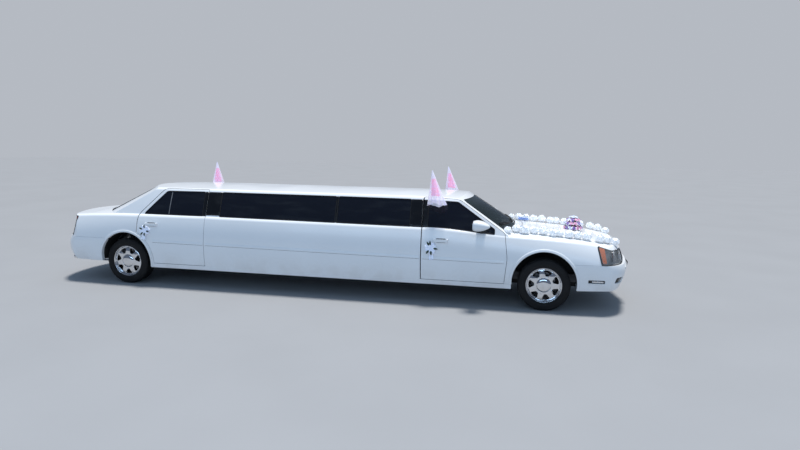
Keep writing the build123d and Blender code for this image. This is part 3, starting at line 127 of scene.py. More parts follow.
class Finish(Graph):
    """A material on one Principled shader, patterned by the object's own coordinates."""

    def __init__(self, name, colour, roughness, constants=None):
        self.material = bpy.data.materials.new(name)
        self.material.use_nodes = True
        super().__init__(self.material.node_tree)
        self.shader = self.tree.nodes["Principled BSDF"]
        self.colour = (*colour, 1.0)
        self.set("Base Color", self.colour)
        self.set("Roughness", roughness)
        for socket, value in (constants or {}).items():
            self.set(socket, value)
        self.material.diffuse_color = self.colour
        self.place = self.node("ShaderNodeTexCoord", {}, (), "Object")

    def set(self, socket, value):
        if isinstance(value, Wire):
            self.tree.links.new(value.socket, self.shader.inputs[socket])
        else:
            self.shader.inputs[socket].default_value = value
        return self

    def axis(self, letter):
        return self.node("ShaderNodeSeparateXYZ", {}, (self.place,), "XYZ".index(letter))

    def scaled(self, x, y, z):
        return self.node("ShaderNodeMapping", {}, {"Vector": self.place, "Scale": (x, y, z)})

    def noise(self, scale, detail=2.0, vector=None):
        ins = {"Vector": vector or self.place, "Scale": scale, "Detail": detail}
        return self.node("ShaderNodeTexNoise", {}, ins)

    def cells(self, scale, feature="F1", vector=None):
        ins = {"Vector": vector or self.place, "Scale": scale}
        return self.node("ShaderNodeTexVoronoi", {"feature": feature}, ins)

    def tint(self, factor, low, high):
        ends = {0: factor, 6: low if isinstance(low, Wire) else (*low, 1.0)}
        ends[7] = high if isinstance(high, Wire) else (*high, 1.0)
        return self.node("ShaderNodeMix", {"data_type": "RGBA"}, ends, 2)

    def vary(self, factor, amount):
        """The base colour, darkened by up to amount where factor is 1."""
        return self.tint(factor, self.colour[:3], [value * (1 - amount) for value in self.colour[:3]])

    def bump(self, height, strength, distance):
        ins = {"Height": height, "Strength": strength, "Distance": distance}
        return self.set("Normal", self.node("ShaderNodeBump", {}, ins))


def white_paint(colour):
    """Gloss enamel with orange peel, fine smudges, and a warm, darker film low down that is partly road dust
    and partly a painted warm tone of light bounced up from the ground.
    """
    paint = Finish("white_paint", colour, 0.3,
                   {"Specular IOR Level": 0.3, "Coat Weight": 0.2, "Coat Roughness": 0.14})
    # Warmer and darker towards the bottom: road dust, and a painted warm tone of light bounced up from the
    # ground.
    dust = (1 - paint.axis("Z").between(0.26, 0.62)) * paint.noise(5.0, 4.0).between(0.35, 0.7)
    cloud = paint.noise(1.4, 3.0).between(0.3, 0.75)
    paint.set("Base Color", paint.tint(dust * 0.26, paint.vary(cloud, 0.03), (0.5, 0.46, 0.41)))
    paint.set("Roughness", 0.16 + cloud * 0.08 + dust * 0.35)
    return paint.bump(paint.noise(160.0, 1.0), 0.05, 0.0004)


def tinted_glass(name, colour, shown):
    """Dark safety glass: a deeper tint at its top, wiping marks and a thin film of dust."""
    glass = Finish(name, colour, 0.04, {"IOR": 1.42})
    band = glass.axis("Z").between(1.22, 1.36)
    smear = glass.noise(3.0, 5.0, glass.scaled(1.0, 1.0, 5.0)).between(0.45, 0.8)
    glass.set("Base Color", glass.tint(smear * 0.3, colour, (0.03, 0.035, 0.04)))
    glass.set("Roughness", 0.03 + smear * 0.05)
    return glass.set("Alpha", shown + band * (0.97 - shown))


def chrome_plate():
    chrome = Finish("chrome_plate", (0.74, 0.75, 0.77), 0.07, {"Metallic": 1.0})
    haze = chrome.noise(22.0, 4.0).between(0.4, 0.8)
    chrome.set("Base Color", chrome.vary(haze, 0.12))
    return chrome.set("Roughness", 0.05 + haze * 0.09)


def black_gloss():
    gloss = Finish("black_gloss_trim", (0.006, 0.007, 0.009), 0.1, {"IOR": 1.42})
    haze = gloss.noise(7.0, 4.0).between(0.4, 0.75)
    gloss.set("Base Color", gloss.tint(haze, (0.005, 0.006, 0.008), (0.012, 0.013, 0.015)))
    return gloss.set("Roughness", 0.07 + haze * 0.1)


def grained_plastic(name, colour, roughness=0.5):
    plastic = Finish(name, colour, roughness)
    grain = plastic.cells(420.0)
    plastic.set("Base Color", plastic.vary(plastic.noise(9.0, 3.0).between(0.3, 0.7), 0.25))
    plastic.set("Roughness", roughness - 0.08 + grain * 0.2)
    return plastic.bump(grain, 0.25, 0.0006)


def tyre_rubber():
    """Black rubber with a grey bloom of dust and fine moulding grain."""
    rubber = Finish("tyre_rubber_black", (0.008, 0.008, 0.009), 0.8, {"Specular IOR Level": 0.3})
    bloom = rubber.noise(12.0, 5.0).between(0.42, 0.75)
    rubber.set("Base Color", rubber.tint(bloom * 0.4, (0.007, 0.007, 0.008), (0.03, 0.029, 0.027)))
    rubber.set("Roughness", 0.7 + bloom * 0.2)
    return rubber.bump(rubber.noise(260.0, 2.0), 0.3, 0.0007)


def underside_paint():
    """Matt dark sealer, splashed with dried road dirt."""
    sealer = Finish("underside_sealer", (0.022, 0.022, 0.022), 0.8)
    dirt = sealer.noise(6.0, 6.0).between(0.42, 0.72)
    sealer.set("Base Color", sealer.tint(dirt * 0.5, (0.012, 0.012, 0.013), (0.055, 0.047, 0.04)))
    sealer.set("Roughness", 0.65 + dirt * 0.3)
    return sealer.bump(sealer.noise(55.0, 3.0), 0.5, 0.002)


def worn_metal(name, colour, roughness, rust=0.25):
    metal = Finish(name, colour, roughness, {"Metallic": 0.85})
    bloom = metal.noise(18.0, 6.0).between(0.5, 0.8)
    metal.set("Base Color", metal.tint(bloom * rust, colour, (0.16, 0.07, 0.035)))
    metal.set("Roughness", roughness + bloom * 0.25)
    return metal.bump(metal.noise(120.0, 3.0), 0.2, 0.0006)


def leather(name, colour):
    """Soft hide: pebbled grain, creases and a faint polish where it is worn."""
    hide = Finish(name, colour, 0.5, {"Specular IOR Level": 0.45})
    pebble = hide.cells(330.0, "SMOOTH_F1")
    crease = hide.noise(26.0, 5.0).between(0.35, 0.7)
    hide.set("Base Color", hide.vary(crease, 0.22))
    hide.set("Roughness", 0.42 + crease * 0.18)
    return hide.bump(pebble + crease * 0.5, 0.35, 0.0009)


def pile(name, colour):
    """Cut pile carpet or brushed lining cloth."""
    cloth = Finish(name, colour, 0.95, {"Sheen Weight": 0.4})
    tuft = cloth.noise(420.0, 2.0)
    cloth.set("Base Color", cloth.vary(tuft.between(0.3, 0.7), 0.35))
    return cloth.bump(tuft, 0.6, 0.002)


def veneer():
    """Lacquered walnut: long rings of grain with dark pores."""
    wood = Finish("walnut_veneer", (0.2, 0.08, 0.035), 0.25, {"Coat Weight": 1.0, "Coat Roughness": 0.04})
    rings = (wood.noise(7.0, 4.0, wood.scaled(0.6, 4.0, 4.0)) * 42.0).wave() * 0.5 + 0.5
    pores = wood.noise(140.0, 2.0, wood.scaled(0.08, 1.0, 1.0)).between(0.55, 0.75)
    grain = wood.tint(rings, (0.1, 0.035, 0.015), (0.3, 0.13, 0.055))
    wood.set("Base Color", wood.tint(pores * 0.7, grain, (0.03, 0.012, 0.006)))
    return wood.bump(pores, 0.1, 0.0003)


def thin_cloth(name, colour, roughness, sheen, glow):
    """Cloth that glows a little in its own colour, for the light that comes through it."""
    lit = {"Emission Color": (*colour, 1.0), "Emission Strength": glow}
    return Finish(name, colour, roughness, {"Sheen Weight": sheen, **lit})


def net(name, colour, shown, edge):
    """Tulle: a fine net whose folds read denser, in a colour that deepens unevenly."""
    tulle = thin_cloth(name, colour, 0.7, 0.6, 0.22)
    mesh = tulle.cells(520.0, "DISTANCE_TO_EDGE").between(0.03, 0.16)
    fold = tulle.noise(34.0, 3.0).between(0.35, 0.65)
    tulle.set("Base Color", tulle.tint(fold, colour, edge))
    tulle.set("Alpha", shown + (1 - mesh) * 0.12 + fold * 0.2)
    return tulle.bump(tulle.noise(240.0, 2.0), 0.35, 0.0008)


def petal(name, colour, edge):
    """Artificial petals: cloth with soft veins and a paler edge."""
    cloth = thin_cloth(name, colour, 0.75, 0.5, 0.1)
    shade = cloth.noise(60.0, 3.0).between(0.35, 0.7)
    cloth.set("Base Color", cloth.tint(shade, colour, edge))
    return cloth.bump(cloth.noise(300.0, 3.0), 0.3, 0.0006)


def lens(name, colour, shown, pitch):
    """Moulded lamp plastic with vertical and level flutes behind a gloss face."""
    plastic = Finish(name, colour, 0.06, {"IOR": 1.49, "Coat Weight": 1.0, "Coat Roughness": 0.02})
    across = (plastic.axis("Y") * (math.tau / pitch)).wave()
    along = (plastic.axis("Z") * (math.tau / pitch)).wave()
    plastic.set("Base Color", plastic.vary((across * along) * 0.5 + 0.5, 0.35))
    plastic.set("Alpha", shown + (across * 0.5 + 0.5) * 0.06)
    return plastic.bump(across + along, 0.25, 0.0006)


def blank_plate():
    """Reflective white sheeting, bare of characters."""
    sheet = Finish("blank_plate_sheet", (0.78, 0.79, 0.78), 0.3, {"Coat Weight": 0.6})
    bead = sheet.cells(900.0)
    sheet.set("Base Color", sheet.vary(sheet.noise(20.0, 4.0).between(0.4, 0.75), 0.12))
    return sheet.bump(bead, 0.1, 0.0002)


FINISHES = {}


def finish(name):
    return FINISHES[name].material


def mix_finishes(paint_colour, glass_colour):
    """Every finish of the car, by the name that the pieces ask for."""
    FINISHES.update(
        paint=white_paint(paint_colour),
        side_glass=tinted_glass("dark_side_glass", glass_colour, 0.93),
        screen_glass=tinted_glass("screen_glass", (0.012, 0.02, 0.018), 0.62),
        chrome=chrome_plate(),
        gloss=black_gloss(),
        plastic=grained_plastic("black_grained_plastic", (0.014, 0.014, 0.015)),
        rubber=grained_plastic("seal_rubber", (0.01, 0.01, 0.011), 0.6),
        trim=grained_plastic("grey_moulded_trim", (0.17, 0.17, 0.18), 0.55),
        tyre=tyre_rubber(),
        sealer=underside_paint(),
        cast=worn_metal("cast_iron", (0.13, 0.13, 0.135), 0.55),
        steel=worn_metal("pressed_steel", (0.3, 0.3, 0.31), 0.4),
        disc=worn_metal("turned_disc", (0.42, 0.42, 0.43), 0.28, 0.12),
        hide=leather("grey_leather_hide", (0.2, 0.2, 0.205)),
        dark_hide=leather("dark_leather_hide", (0.03, 0.03, 0.032)),
        carpet=pile("charcoal_carpet", (0.035, 0.035, 0.04)),
        lining=pile("roof_lining_cloth", (0.33, 0.33, 0.34)),
        wood=veneer(),
        veil=net("white_veil", (0.9, 0.88, 0.95), 0.36, (0.7, 0.66, 0.92)),
        pink=net("pink_tulle", (0.92, 0.03, 0.30), 0.92, (0.92, 0.12, 0.45)),
        puff=petal("white_puff_tulle", (0.86, 0.88, 0.9), (0.93, 0.94, 0.95)),
        satin=petal("white_satin_ribbon", (0.66, 0.74, 0.92), (0.9, 0.92, 0.97)),
        blue_satin=petal("blue_satin_ribbon", (0.22, 0.36, 0.72), (0.5, 0.62, 0.86)),
        lilac=petal("lilac_ribbon", (0.5, 0.36, 0.74), (0.72, 0.6, 0.88)),
        leaf=petal("green_leaves", (0.010, 0.028, 0.016), (0.022, 0.06, 0.034)),
        rose=petal("pink_petals", (0.75, 0.3, 0.5), (0.88, 0.6, 0.72)),
        violet=petal("violet_petals", (0.22, 0.11, 0.42), (0.45, 0.33, 0.66)),
        clear_lens=lens("clear_lamp_lens", (0.5, 0.52, 0.52), 0.22, 0.012),
        amber_lens=lens("amber_lamp_lens", (0.8, 0.16, 0.015), 0.9, 0.008),
        red_lens=lens("red_lamp_lens", (0.24, 0.006, 0.008), 0.93, 0.01),
        plate=blank_plate(),
    )


# Making and placing pieces

def tidy(bm):
    bmesh.ops.remove_doubles(bm, verts=bm.verts, dist=2e-5)
    bmesh.ops.recalc_face_normals(bm, faces=bm.faces)


def plain_piece(name, bm, look, sharp=38.0):
    """Turns a bmesh into a smoothly shaded piece that rides on nothing yet."""
    mesh = bpy.data.meshes.new(name)
    bm.to_mesh(mesh)
    bm.free()
    mesh.materials.append(finish(look))
    mesh.shade_smooth()
    mesh.set_sharp_from_angle(angle=math.radians(sharp))
    made = bpy.data.objects.new(name, mesh)
    bpy.context.scene.collection.objects.link(made)
    return made


def seat(made, body, replaces=()):
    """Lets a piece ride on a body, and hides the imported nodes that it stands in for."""
    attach(made, body)
    if replaces:
        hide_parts(*replaces)


def piece(name, bm, look, body, replaces=(), sharp=38.0):
    """Turns a bmesh into a finished piece that rides on a body."""
    made = plain_piece(name, bm, look, sharp)
    seat(made, body, replaces)
    return made


def loose_copy(node):
    """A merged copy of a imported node's mesh."""
    bm = bmesh.new()
    bm.from_mesh(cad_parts[node].data)
    bmesh.ops.remove_doubles(bm, verts=bm.verts, dist=1e-5)
    return bm


class Skin:
    """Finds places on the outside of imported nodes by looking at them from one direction."""

    def __init__(self, *nodes):
        points, faces = [], []
        for node in nodes:
            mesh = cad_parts[node].data
            first = len(points)
            points += [vertex.co.copy() for vertex in mesh.vertices]
            faces += [[first + index for index in polygon.vertices] for polygon in mesh.polygons]
        self.tree = BVHTree.FromPolygons(points, faces)

    def seen(self, point, along):
        """(place, normal) where a look from point along a direction meets the skin, or None."""
        place, normal = self.tree.ray_cast(Vector(point), Vector(along).normalized())[:2]
        if place is None:
            return None
        return place, -normal if normal.dot(Vector(along)) > 0 else normal

    def beside(self, x, z, side):
        return self.seen((x, side * 2.0, z), (0, -side, 0))

    def flank(self, side):
        """The look-up of (x, z) on one side of the car."""
        return lambda x, z: self.beside(x, z, side)

    def above(self, x, y):
        return self.seen((x, y, 3.0), (0, 0, -1))

    def ahead(self, y, z):
        return self.seen((6.0, y, z), (-1, 0, 0))

    def behind(self, y, z):
        return self.seen((-6.0, y, z), (1, 0, 0))


def rims_of(node, facing, least):
    """Closed rims, as [(place, normal)], round the faces of a node that look along a direction."""
    bm = loose_copy(node)
    facing = Vector(facing).normalized()
    chosen = {face for face in bm.faces if face.normal.dot(facing) > least}
    border = {}
    for face in chosen:
        for edge in face.edges:
            if sum(other in chosen for other in edge.link_faces) == 1:
                for vertex in edge.verts:
                    border.setdefault(vertex, []).append(edge)
    rims, used = [], set()
    for start in border:
        rim, here = [], start
        while here is not None:
            looks = [face.normal for face in here.link_faces if face in chosen]
            rim.append((here.co.copy(), sum(looks, Vector()).normalized()))
            step = next((edge for edge in border[here] if edge not in used), None)
            if step is not None:
                used.add(step)
            here = step.other_vert(here) if step is not None else None
            if here is start:
                break
        if len(rim) > 6:
            rims.append(rim)
    bm.free()
    return rims


def spaced(stations, step):
    """Stations evenly spaced round a closed chain of (place, normal)."""
    chain = stations + stations[:1]
    lengths = [0.0]
    for (start, _), (end, _) in zip(chain, chain[1:]):
        lengths.append(lengths[-1] + (end - start).length)
    count = max(3, round(lengths[-1] / step))
    even, index = [], 0
    for number in range(count):
        want = lengths[-1] * number / count
        while index < len(chain) - 2 and lengths[index + 1] < want:
            index += 1
        share = (want - lengths[index]) / max(lengths[index + 1] - lengths[index], 1e-9)
        (start, first), (end, last) = chain[index], chain[index + 1]
        even.append((start.lerp(end, share), first.lerp(last, share).normalized()))
    return even


def sweep(bm, stations, section, closed=False):
    """Carries a section of (across, out) points along stations of (place, outward normal)."""
    rings, count = [], len(stations)
    for number, (place, normal) in enumerate(stations):
        ahead = stations[(number + 1) % count if closed else min(number + 1, count - 1)][0]
        back = stations[(number - 1) % count if closed else max(number - 1, 0)][0]
        across = (ahead - back).cross(normal).normalized()
        rings.append([bm.verts.new(place + across * side + normal * out) for side, out in section])
    pairs = list(zip(rings, rings[1:])) + ([(rings[-1], rings[0])] if closed else [])
    for first, second in pairs:
        join_rings(bm, first, second)
    if not closed:
        bm.faces.new(rings[0][::-1])
        bm.faces.new(rings[-1])


def bead(half, rise, sink=0.002):
    """A low moulding with rounded shoulders."""
    return [(-half, -sink), (-half, rise * 0.4), (-half * 0.7, rise * 0.9), (0, rise),
            (half * 0.7, rise * 0.9), (half, rise * 0.4), (half, -sink)]


def cord_section(radius, sides, lift=0.0):
    turns = [math.tau * number / sides for number in range(sides)]
    return [(radius * math.cos(turn), lift + radius * math.sin(turn)) for turn in turns]


def ring_of(bm, middle, across, other, radius, segments):
    """A ring of points round middle, in the plane of two directions."""
    ring = []
    for number in range(segments):
        turn = math.tau * number / segments
        ring.append(bm.verts.new(middle + (across * math.cos(turn) + other * math.sin(turn)) * radius))
    return ring


def lathe(bm, profile, centre, axis, segments, closed=False):
    """Turns (radius, along) points about an axis through centre."""
    axis = Vector(axis).normalized()
    across = axis.orthogonal().normalized()
    other = axis.cross(across)
    rings = []
    for radius, along in profile:
        middle = Vector(centre) + axis * along
        if radius < 1e-6:
            rings.append([bm.verts.new(middle)] * segments)
        else:
            rings.append(ring_of(bm, middle, across, other, radius, segments))
    pairs = list(zip(rings, rings[1:])) + ([(rings[-1], rings[0])] if closed else [])
    for first, second in pairs:
        for number in range(segments):
            after = (number + 1) % segments
            corners = []
            for vertex in (first[number], first[after], second[after], second[number]):
                if vertex not in corners:
                    corners.append(vertex)
            if len(corners) > 2:
                bm.faces.new(corners)


def tube(bm, points, radius, sides=8):
    """A round bar along points, with closed ends."""
    points = [Vector(point) for point in points]
    ring_before, side_way = None, None
    for number, point in enumerate(points):
        along = points[min(number + 1, len(points) - 1)] - points[max(number - 1, 0)]
        along.normalize()
        side_way = side_way or along.orthogonal()
        side_way = side_way - along * along.dot(side_way)
        side_way.normalize()
        ring = ring_of(bm, point, side_way, along.cross(side_way), radius, sides)
        if ring_before:
            join_rings(bm, ring_before, ring)
        else:
            bm.faces.new(ring[::-1])
        ring_before = ring
    bm.faces.new(ring_before)


def join_rings(bm, first, second):
    """A band of faces between two rings of as many points."""
    for number in range(len(first)):
        after = (number + 1) % len(first)
        bm.faces.new((first[number], first[after], second[after], second[number]))


def join_rows(bm, rows):
    """A sheet of faces across rows of as many points."""
    for first, second in zip(rows, rows[1:]):
        for step in range(len(first) - 1):
            bm.faces.new((first[step], first[step + 1], second[step + 1], second[step]))


def block(bm, low, high, bevel=0.004, segments=2, turn=None):
    """A box with rounded edges, turned by a matrix if one is given."""
    made = bmesh.ops.create_cube(bm, size=1.0)["verts"]
    for vertex in made:
        vertex.co = [(low[k] + high[k]) / 2 + vertex.co[k] * (high[k] - low[k]) for k in range(3)]
    edges = list({edge for vertex in made for edge in vertex.link_edges})
    ends = bmesh.ops.bevel(bm, geom=edges, offset=bevel, segments=segments, affect="EDGES", profile=0.5)
    if turn is not None:
        near = {vertex for face in ends["faces"] for vertex in face.verts}
        near |= {other for vertex in near for edge in vertex.link_edges for other in edge.verts}
        bmesh.ops.transform(bm, matrix=turn, verts=list(near))


def pour(source, bm):
    """Adds a bmesh to another, and frees it."""
    mesh = bpy.data.meshes.new("poured")
    source.to_mesh(mesh)
    source.free()
    bm.from_mesh(mesh)
    bpy.data.meshes.remove(mesh)


def patch_of(bm, node, limits, facing, lift, least):
    """Adds to bm the faces of a node inside a box that look along a direction, lifted off it."""
    part = loose_copy(node)
    for axis in range(3):
        for place in limits[axis]:
            point, normal = Vector(), Vector()
            point[axis], normal[axis] = place, 1.0
            everything = part.verts[:] + part.edges[:] + part.faces[:]
            bmesh.ops.bisect_plane(part, geom=everything, plane_co=point, plane_no=normal)
    facing = Vector(facing).normalized()
    outside = []
    for face in part.faces:
        middle = face.calc_center_median()
        within = all(limits[k][0] - 1e-5 <= middle[k] <= limits[k][1] + 1e-5 for k in range(3))
        if not within or face.normal.dot(facing) < least:
            outside.append(face)
    bmesh.ops.delete(part, geom=outside, context="FACES")
    part.normal_update()
    for vertex in part.verts:
        vertex.co += vertex.normal * lift
    pour(part, bm)


def thicken(made, thickness, offset=-1.0):
    """Gives a sheet its thickness, and bakes it into the mesh."""
    solid = made.modifiers.new("wall", "SOLIDIFY")
    solid.thickness = thickness
    solid.offset = offset
    bake(made)


def bake(made):
    """Turns a piece with its modifiers into a plain mesh."""
    shape = made.evaluated_get(bpy.context.evaluated_depsgraph_get())
    mesh = bpy.data.meshes.new_from_object(shape)
    made.modifiers.clear()
    before = made.data
    made.data = mesh
    bpy.data.meshes.remove(before)
    mesh.name = made.name


def body_of_door(end, hand):
    return f"{end}_{hand}_door"


def carrier(node, end, hand):
    """(node, body) of a table's row: a door's where it names an end, the shell's otherwise."""
    return (f"{node}_{hand}", body_of_door(end, hand)) if end else (node, "body")


def rounded(points, radius, steps=4):
    """A closed outline of (u, v) with its corners turned to arcs."""
    outline = []
    for number, point in enumerate(points):
        corner = Vector(point)
        back = Vector(points[number - 1]) - corner
        ahead = Vector(points[(number + 1) % len(points)]) - corner
        cut = min(radius, back.length * 0.45, ahead.length * 0.45)
        start, end = corner + back.normalized() * cut, corner + ahead.normalized() * cut
        for step in range(steps + 1):
            share = step / steps
            bend = start * (1 - share) ** 2 + corner * 2 * share * (1 - share) + end * share ** 2
            outline.append((bend.x, bend.y))
    return outline


def applique(bm, outline, look_up, lift, cell):
    """Lays a filled outline of (u, v) on the skin, through a look-up of (u, v) -> (place, normal)."""
    flat = bmesh.new()
    flat.faces.new([flat.verts.new((u, v, 0)) for u, v in outline])
    bmesh.ops.triangulate(flat, faces=flat.faces[:])
    for _ in range(6):
        long = [edge for edge in flat.edges if edge.calc_length() > cell]
        if not long:
            break
        bmesh.ops.subdivide_edges(flat, edges=long, cuts=1)
        bmesh.ops.triangulate(flat, faces=flat.faces[:])
    outward = Vector()
    for vertex in flat.verts:
        hit = look_up(vertex.co.x, vertex.co.y)
        if hit is None:
            raise RuntimeError(f"nothing to lie on at {vertex.co.x:.3f}, {vertex.co.y:.3f}")
        outward += hit[1]
        vertex.co = hit[0] + hit[1] * lift
    flat.normal_update()
    if sum((face.normal * face.calc_area() for face in flat.faces), Vector()).dot(outward) < 0:
        bmesh.ops.reverse_faces(flat, faces=flat.faces[:])
    pour(flat, bm)


def rectangle(left, foot, right, head):
    return [(left, foot), (right, foot), (right, head), (left, head)]


def level_row(look_up, half, height):
    """Stations across the car at one height, from half to the right of its middle."""
    count = round(2 * half / STATION_STEP)
    return [look_up(number * STATION_STEP - half, height) for number in range(count + 1)]


def reach_y(side, near, far):
    """Limits of y on one side of the car, the lower first."""
    return tuple(sorted((side * near, side * far)))


def laid_piece(name, outline, look_up, lift, thickness, look, body, cell=0.02):
    """A thin plate cut to an outline and laid on the skin."""
    bm = bmesh.new()
    applique(bm, outline, look_up, lift, cell)
    thicken(piece(name, bm, look, body), thickness)


def cut_piece(name, node, limits, facing, lift, look, body, least=0.3):
    """A lining cut from the faces of a node."""
    bm = bmesh.new()
    patch_of(bm, node, limits, facing, lift, least)
    piece(name, bm, look, body)


def swept_piece(name, runs, section, look, body, closed=False):
    """A moulding of one section along runs of stations."""
    bm = bmesh.new()
    for stations in runs:
        sweep(bm, stations, section, closed)
    tidy(bm)
    piece(name, bm, look, body)


def turned_piece(name, profile, places, axis, segments, look, body, closed=False):
    """One turned profile, set at each of the places."""
    bm = bmesh.new()
    for place in places:
        lathe(bm, profile, place, axis, segments, closed)
    tidy(bm)
    piece(name, bm, look, body)


def block_piece(name, boxes, look, body):
    """Boxes of (low, high, bevel, segments) as one piece."""
    bm = bmesh.new()
    for box in boxes:
        block(bm, *box)
    piece(name, bm, look, body)


# Repeats, made by Geometry Nodes

def repeat_tree(name, sockets):
    tree = bpy.data.node_groups.new(name, "GeometryNodeTree")
    tree.interface.new_socket("Geometry", in_out="INPUT", socket_type="NodeSocketGeometry")
    for label, kind, value in sockets:
        socket = tree.interface.new_socket(label, in_out="INPUT", socket_type=kind)
        if value is not None:
            socket.default_value = value
    tree.interface.new_socket("Geometry", in_out="OUTPUT", socket_type="NodeSocketGeometry")
    graph = Graph(tree)
    inputs = {}
    entry = tree.nodes.new("NodeGroupInput")
    for number, socket in enumerate(("Geometry", *[label for label, _, _ in sockets])):
        inputs[socket] = Wire(graph, entry.outputs[number])
    return graph, inputs


def close_tree(graph, shape, material):
    """Ends a repeat in real, finished geometry."""
    real = graph.node("GeometryNodeRealizeInstances", {}, (shape,))
    painted = graph.node("GeometryNodeSetMaterial", {}, {"Geometry": real, "Material": material})
    leave = graph.tree.nodes.new("NodeGroupOutput")
    graph.tree.links.new(painted.socket, leave.inputs[0])


def around_tree():
    """Copies of a piece, turned about the car's cross axis through a centre."""
    graph, ins = repeat_tree("around_axle", [
        ("Count", "NodeSocketInt", 7),
        ("Centre", "NodeSocketVector", (0.0, 0.0, 0.0)),
        ("Finish", "NodeSocketMaterial", None),
    ])
    ends = {"Vector": ins["Centre"], "Scale": -1.0}
    back = graph.node("ShaderNodeVectorMath", {"operation": "SCALE"}, ends)
    at_hub = graph.node("GeometryNodeTransform", {}, {"Geometry": ins["Geometry"], "Translation": back})
    points = graph.node("GeometryNodeMeshLine", {}, {"Count": ins["Count"], "Offset": (0.0, 0.0, 0.0)})
    index = graph.node("GeometryNodeInputIndex")
    turn = index * math.tau / ins["Count"]
    turns = graph.node("ShaderNodeCombineXYZ", {}, {"Y": turn})
    copies = {"Points": points, "Instance": at_hub, "Rotation": turns}
    ring = graph.node("GeometryNodeInstanceOnPoints", {}, copies)
    placed = graph.node("GeometryNodeTransform", {}, {"Geometry": ring, "Translation": ins["Centre"]})
    close_tree(graph, placed, ins["Finish"])
    return graph.tree


def row_tree():
    """Copies of a piece in a straight row, each one step from the last."""
    graph, ins = repeat_tree("straight_row", [
        ("Count", "NodeSocketInt", 10),
        ("Start", "NodeSocketVector", (0.0, 0.0, 0.0)),
        ("Step", "NodeSocketVector", (0.0, 0.03, 0.0)),
        ("Finish", "NodeSocketMaterial", None),
    ])
    line = {"Count": ins["Count"], "Start Location": ins["Start"], "Offset": ins["Step"]}
    points = graph.node("GeometryNodeMeshLine", {}, line)
    copies = {"Points": points, "Instance": ins["Geometry"]}
    row = graph.node("GeometryNodeInstanceOnPoints", {}, copies)
    close_tree(graph, row, ins["Finish"])
    return graph.tree


def scatter_tree():
    """Copies of a second piece on the points of this one, each turned and sized at random."""
    graph, ins = repeat_tree("set_on_points", [
        ("Piece", "NodeSocketObject", None),
        ("Least Size", "NodeSocketFloat", 0.85),
        ("Most Size", "NodeSocketFloat", 1.15),
        ("Seed", "NodeSocketInt", 3),
        ("Finish", "NodeSocketMaterial", None),
    ])
    one = graph.node("GeometryNodeObjectInfo", {}, {"Object": ins["Piece"]}, 4)
    turns = {"Min": (-0.5, -0.5, 0.0), "Max": (0.5, 0.5, math.tau), "Seed": ins["Seed"]}
    turn = graph.node("FunctionNodeRandomValue", {"data_type": "FLOAT_VECTOR"}, turns)
    sizes = {2: ins["Least Size"], 3: ins["Most Size"], "Seed": ins["Seed"]}
    size = graph.node("FunctionNodeRandomValue", {"data_type": "FLOAT"}, sizes, 1)
    settings = {"Points": ins["Geometry"], "Instance": one, "Rotation": turn, "Scale": size}
    close_tree(graph, graph.node("GeometryNodeInstanceOnPoints", {}, settings), ins["Finish"])
    return graph.tree


TREES = {}


def repeat(made, kind, **values):
    """Runs a repeat on a piece and keeps the result as its plain mesh."""
    if kind not in TREES:
        TREES[kind] = {"around": around_tree, "row": row_tree, "scatter": scatter_tree}[kind]()
    tree = TREES[kind]
    layer = made.modifiers.new(kind, "NODES")
    layer.node_group = tree
    names = {item.name: item.identifier for item in tree.interface.items_tree if item.in_out == "INPUT"}
    for label, value in values.items():
        layer[names[label.replace("_", " ").title()]] = value
    bake(made)


# Paint, glass and plain structure

KEPT_NODES = {
    "paint": ["roof", "side_panels", "quarter_panels", "front_fenders", "hood", "trunk_lid", "cowl",
              "nose_panel", "front_bumper", "rear_bumper"]
             + [f"door_{end}_{hand}" for end, hand in CORNERS],
    "side_glass": ["side_glass", "rear_window"] + [f"glass_{end}_{hand}" for end, hand in CORNERS],
    "screen_glass": ["windscreen"],
    "sealer": ["floor_pan", "wheel_liners"],
    "cast": ["front_suspension", "knuckle_right", "knuckle_left", "rear_axle", "engine"],
    "steel": ["exhaust", "fuel_tank"],
    "dark_hide": ["dashboard", "steering_wheel"],
    "wood": ["bar_console"],
    "trim": ["partition"],
}


def paint_nodes():
    for look, nodes in KEPT_NODES.items():
        for node in nodes:
            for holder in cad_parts[node].material_slots:
                holder.material = finish(look)


def long_rims(node, facing, least, step, shortest):
    """The rims of a node's faces as even stations, without the rims of small holes."""
    runs = [spaced(rim, step) for rim in rims_of(node, facing, least)]
    return [run for run in runs if len(run) > shortest]


def fit_seals():
    """A rubber seal round each pane, standing a little proud of the frame."""
    panes = [(f"glass_{end}_{hand}", (0, HANDS[hand], 0.2), body_of_door(end, hand))
             for end, hand in CORNERS]
    panes += [("side_glass", (0, side, 0.2), "body") for side in (-1, 1)]
    panes += [("windscreen", (0.5, 0, 0.85), "body"), ("rear_window", (-0.45, 0, 0.9), "body")]
    for number, (node, facing, body) in enumerate(panes):
        runs = long_rims(node, facing, 0.35, 0.016, 30)
        swept_piece(f"window_seal_{number:02d}", runs, cord_section(0.0058, 8, 0.0018), "rubber", body,
                    closed=True)


# Columns: node, door end or None, rear and front limits, heights of the foot and the head
PILLARS = [
    ("roof", None, REAR_AXLE + 1.2745, REAR_AXLE + 1.4795, 1.050, 1.373),
    ("roof", None, REAR_AXLE + 3.1885, REAR_AXLE + 3.2115, 1.022, 1.369),
    ("roof", None, FRONT_AXLE - 1.7495, FRONT_AXLE - 1.5925, 1.008, 1.362),
    ("door_rear", "rear", REAR_AXLE + 1.2165, REAR_AXLE + 1.2675, 1.036, 1.373),
    ("door_front", "front", FRONT_AXLE - 1.5775, FRONT_AXLE - 1.5155, 1.010, 1.359),
]
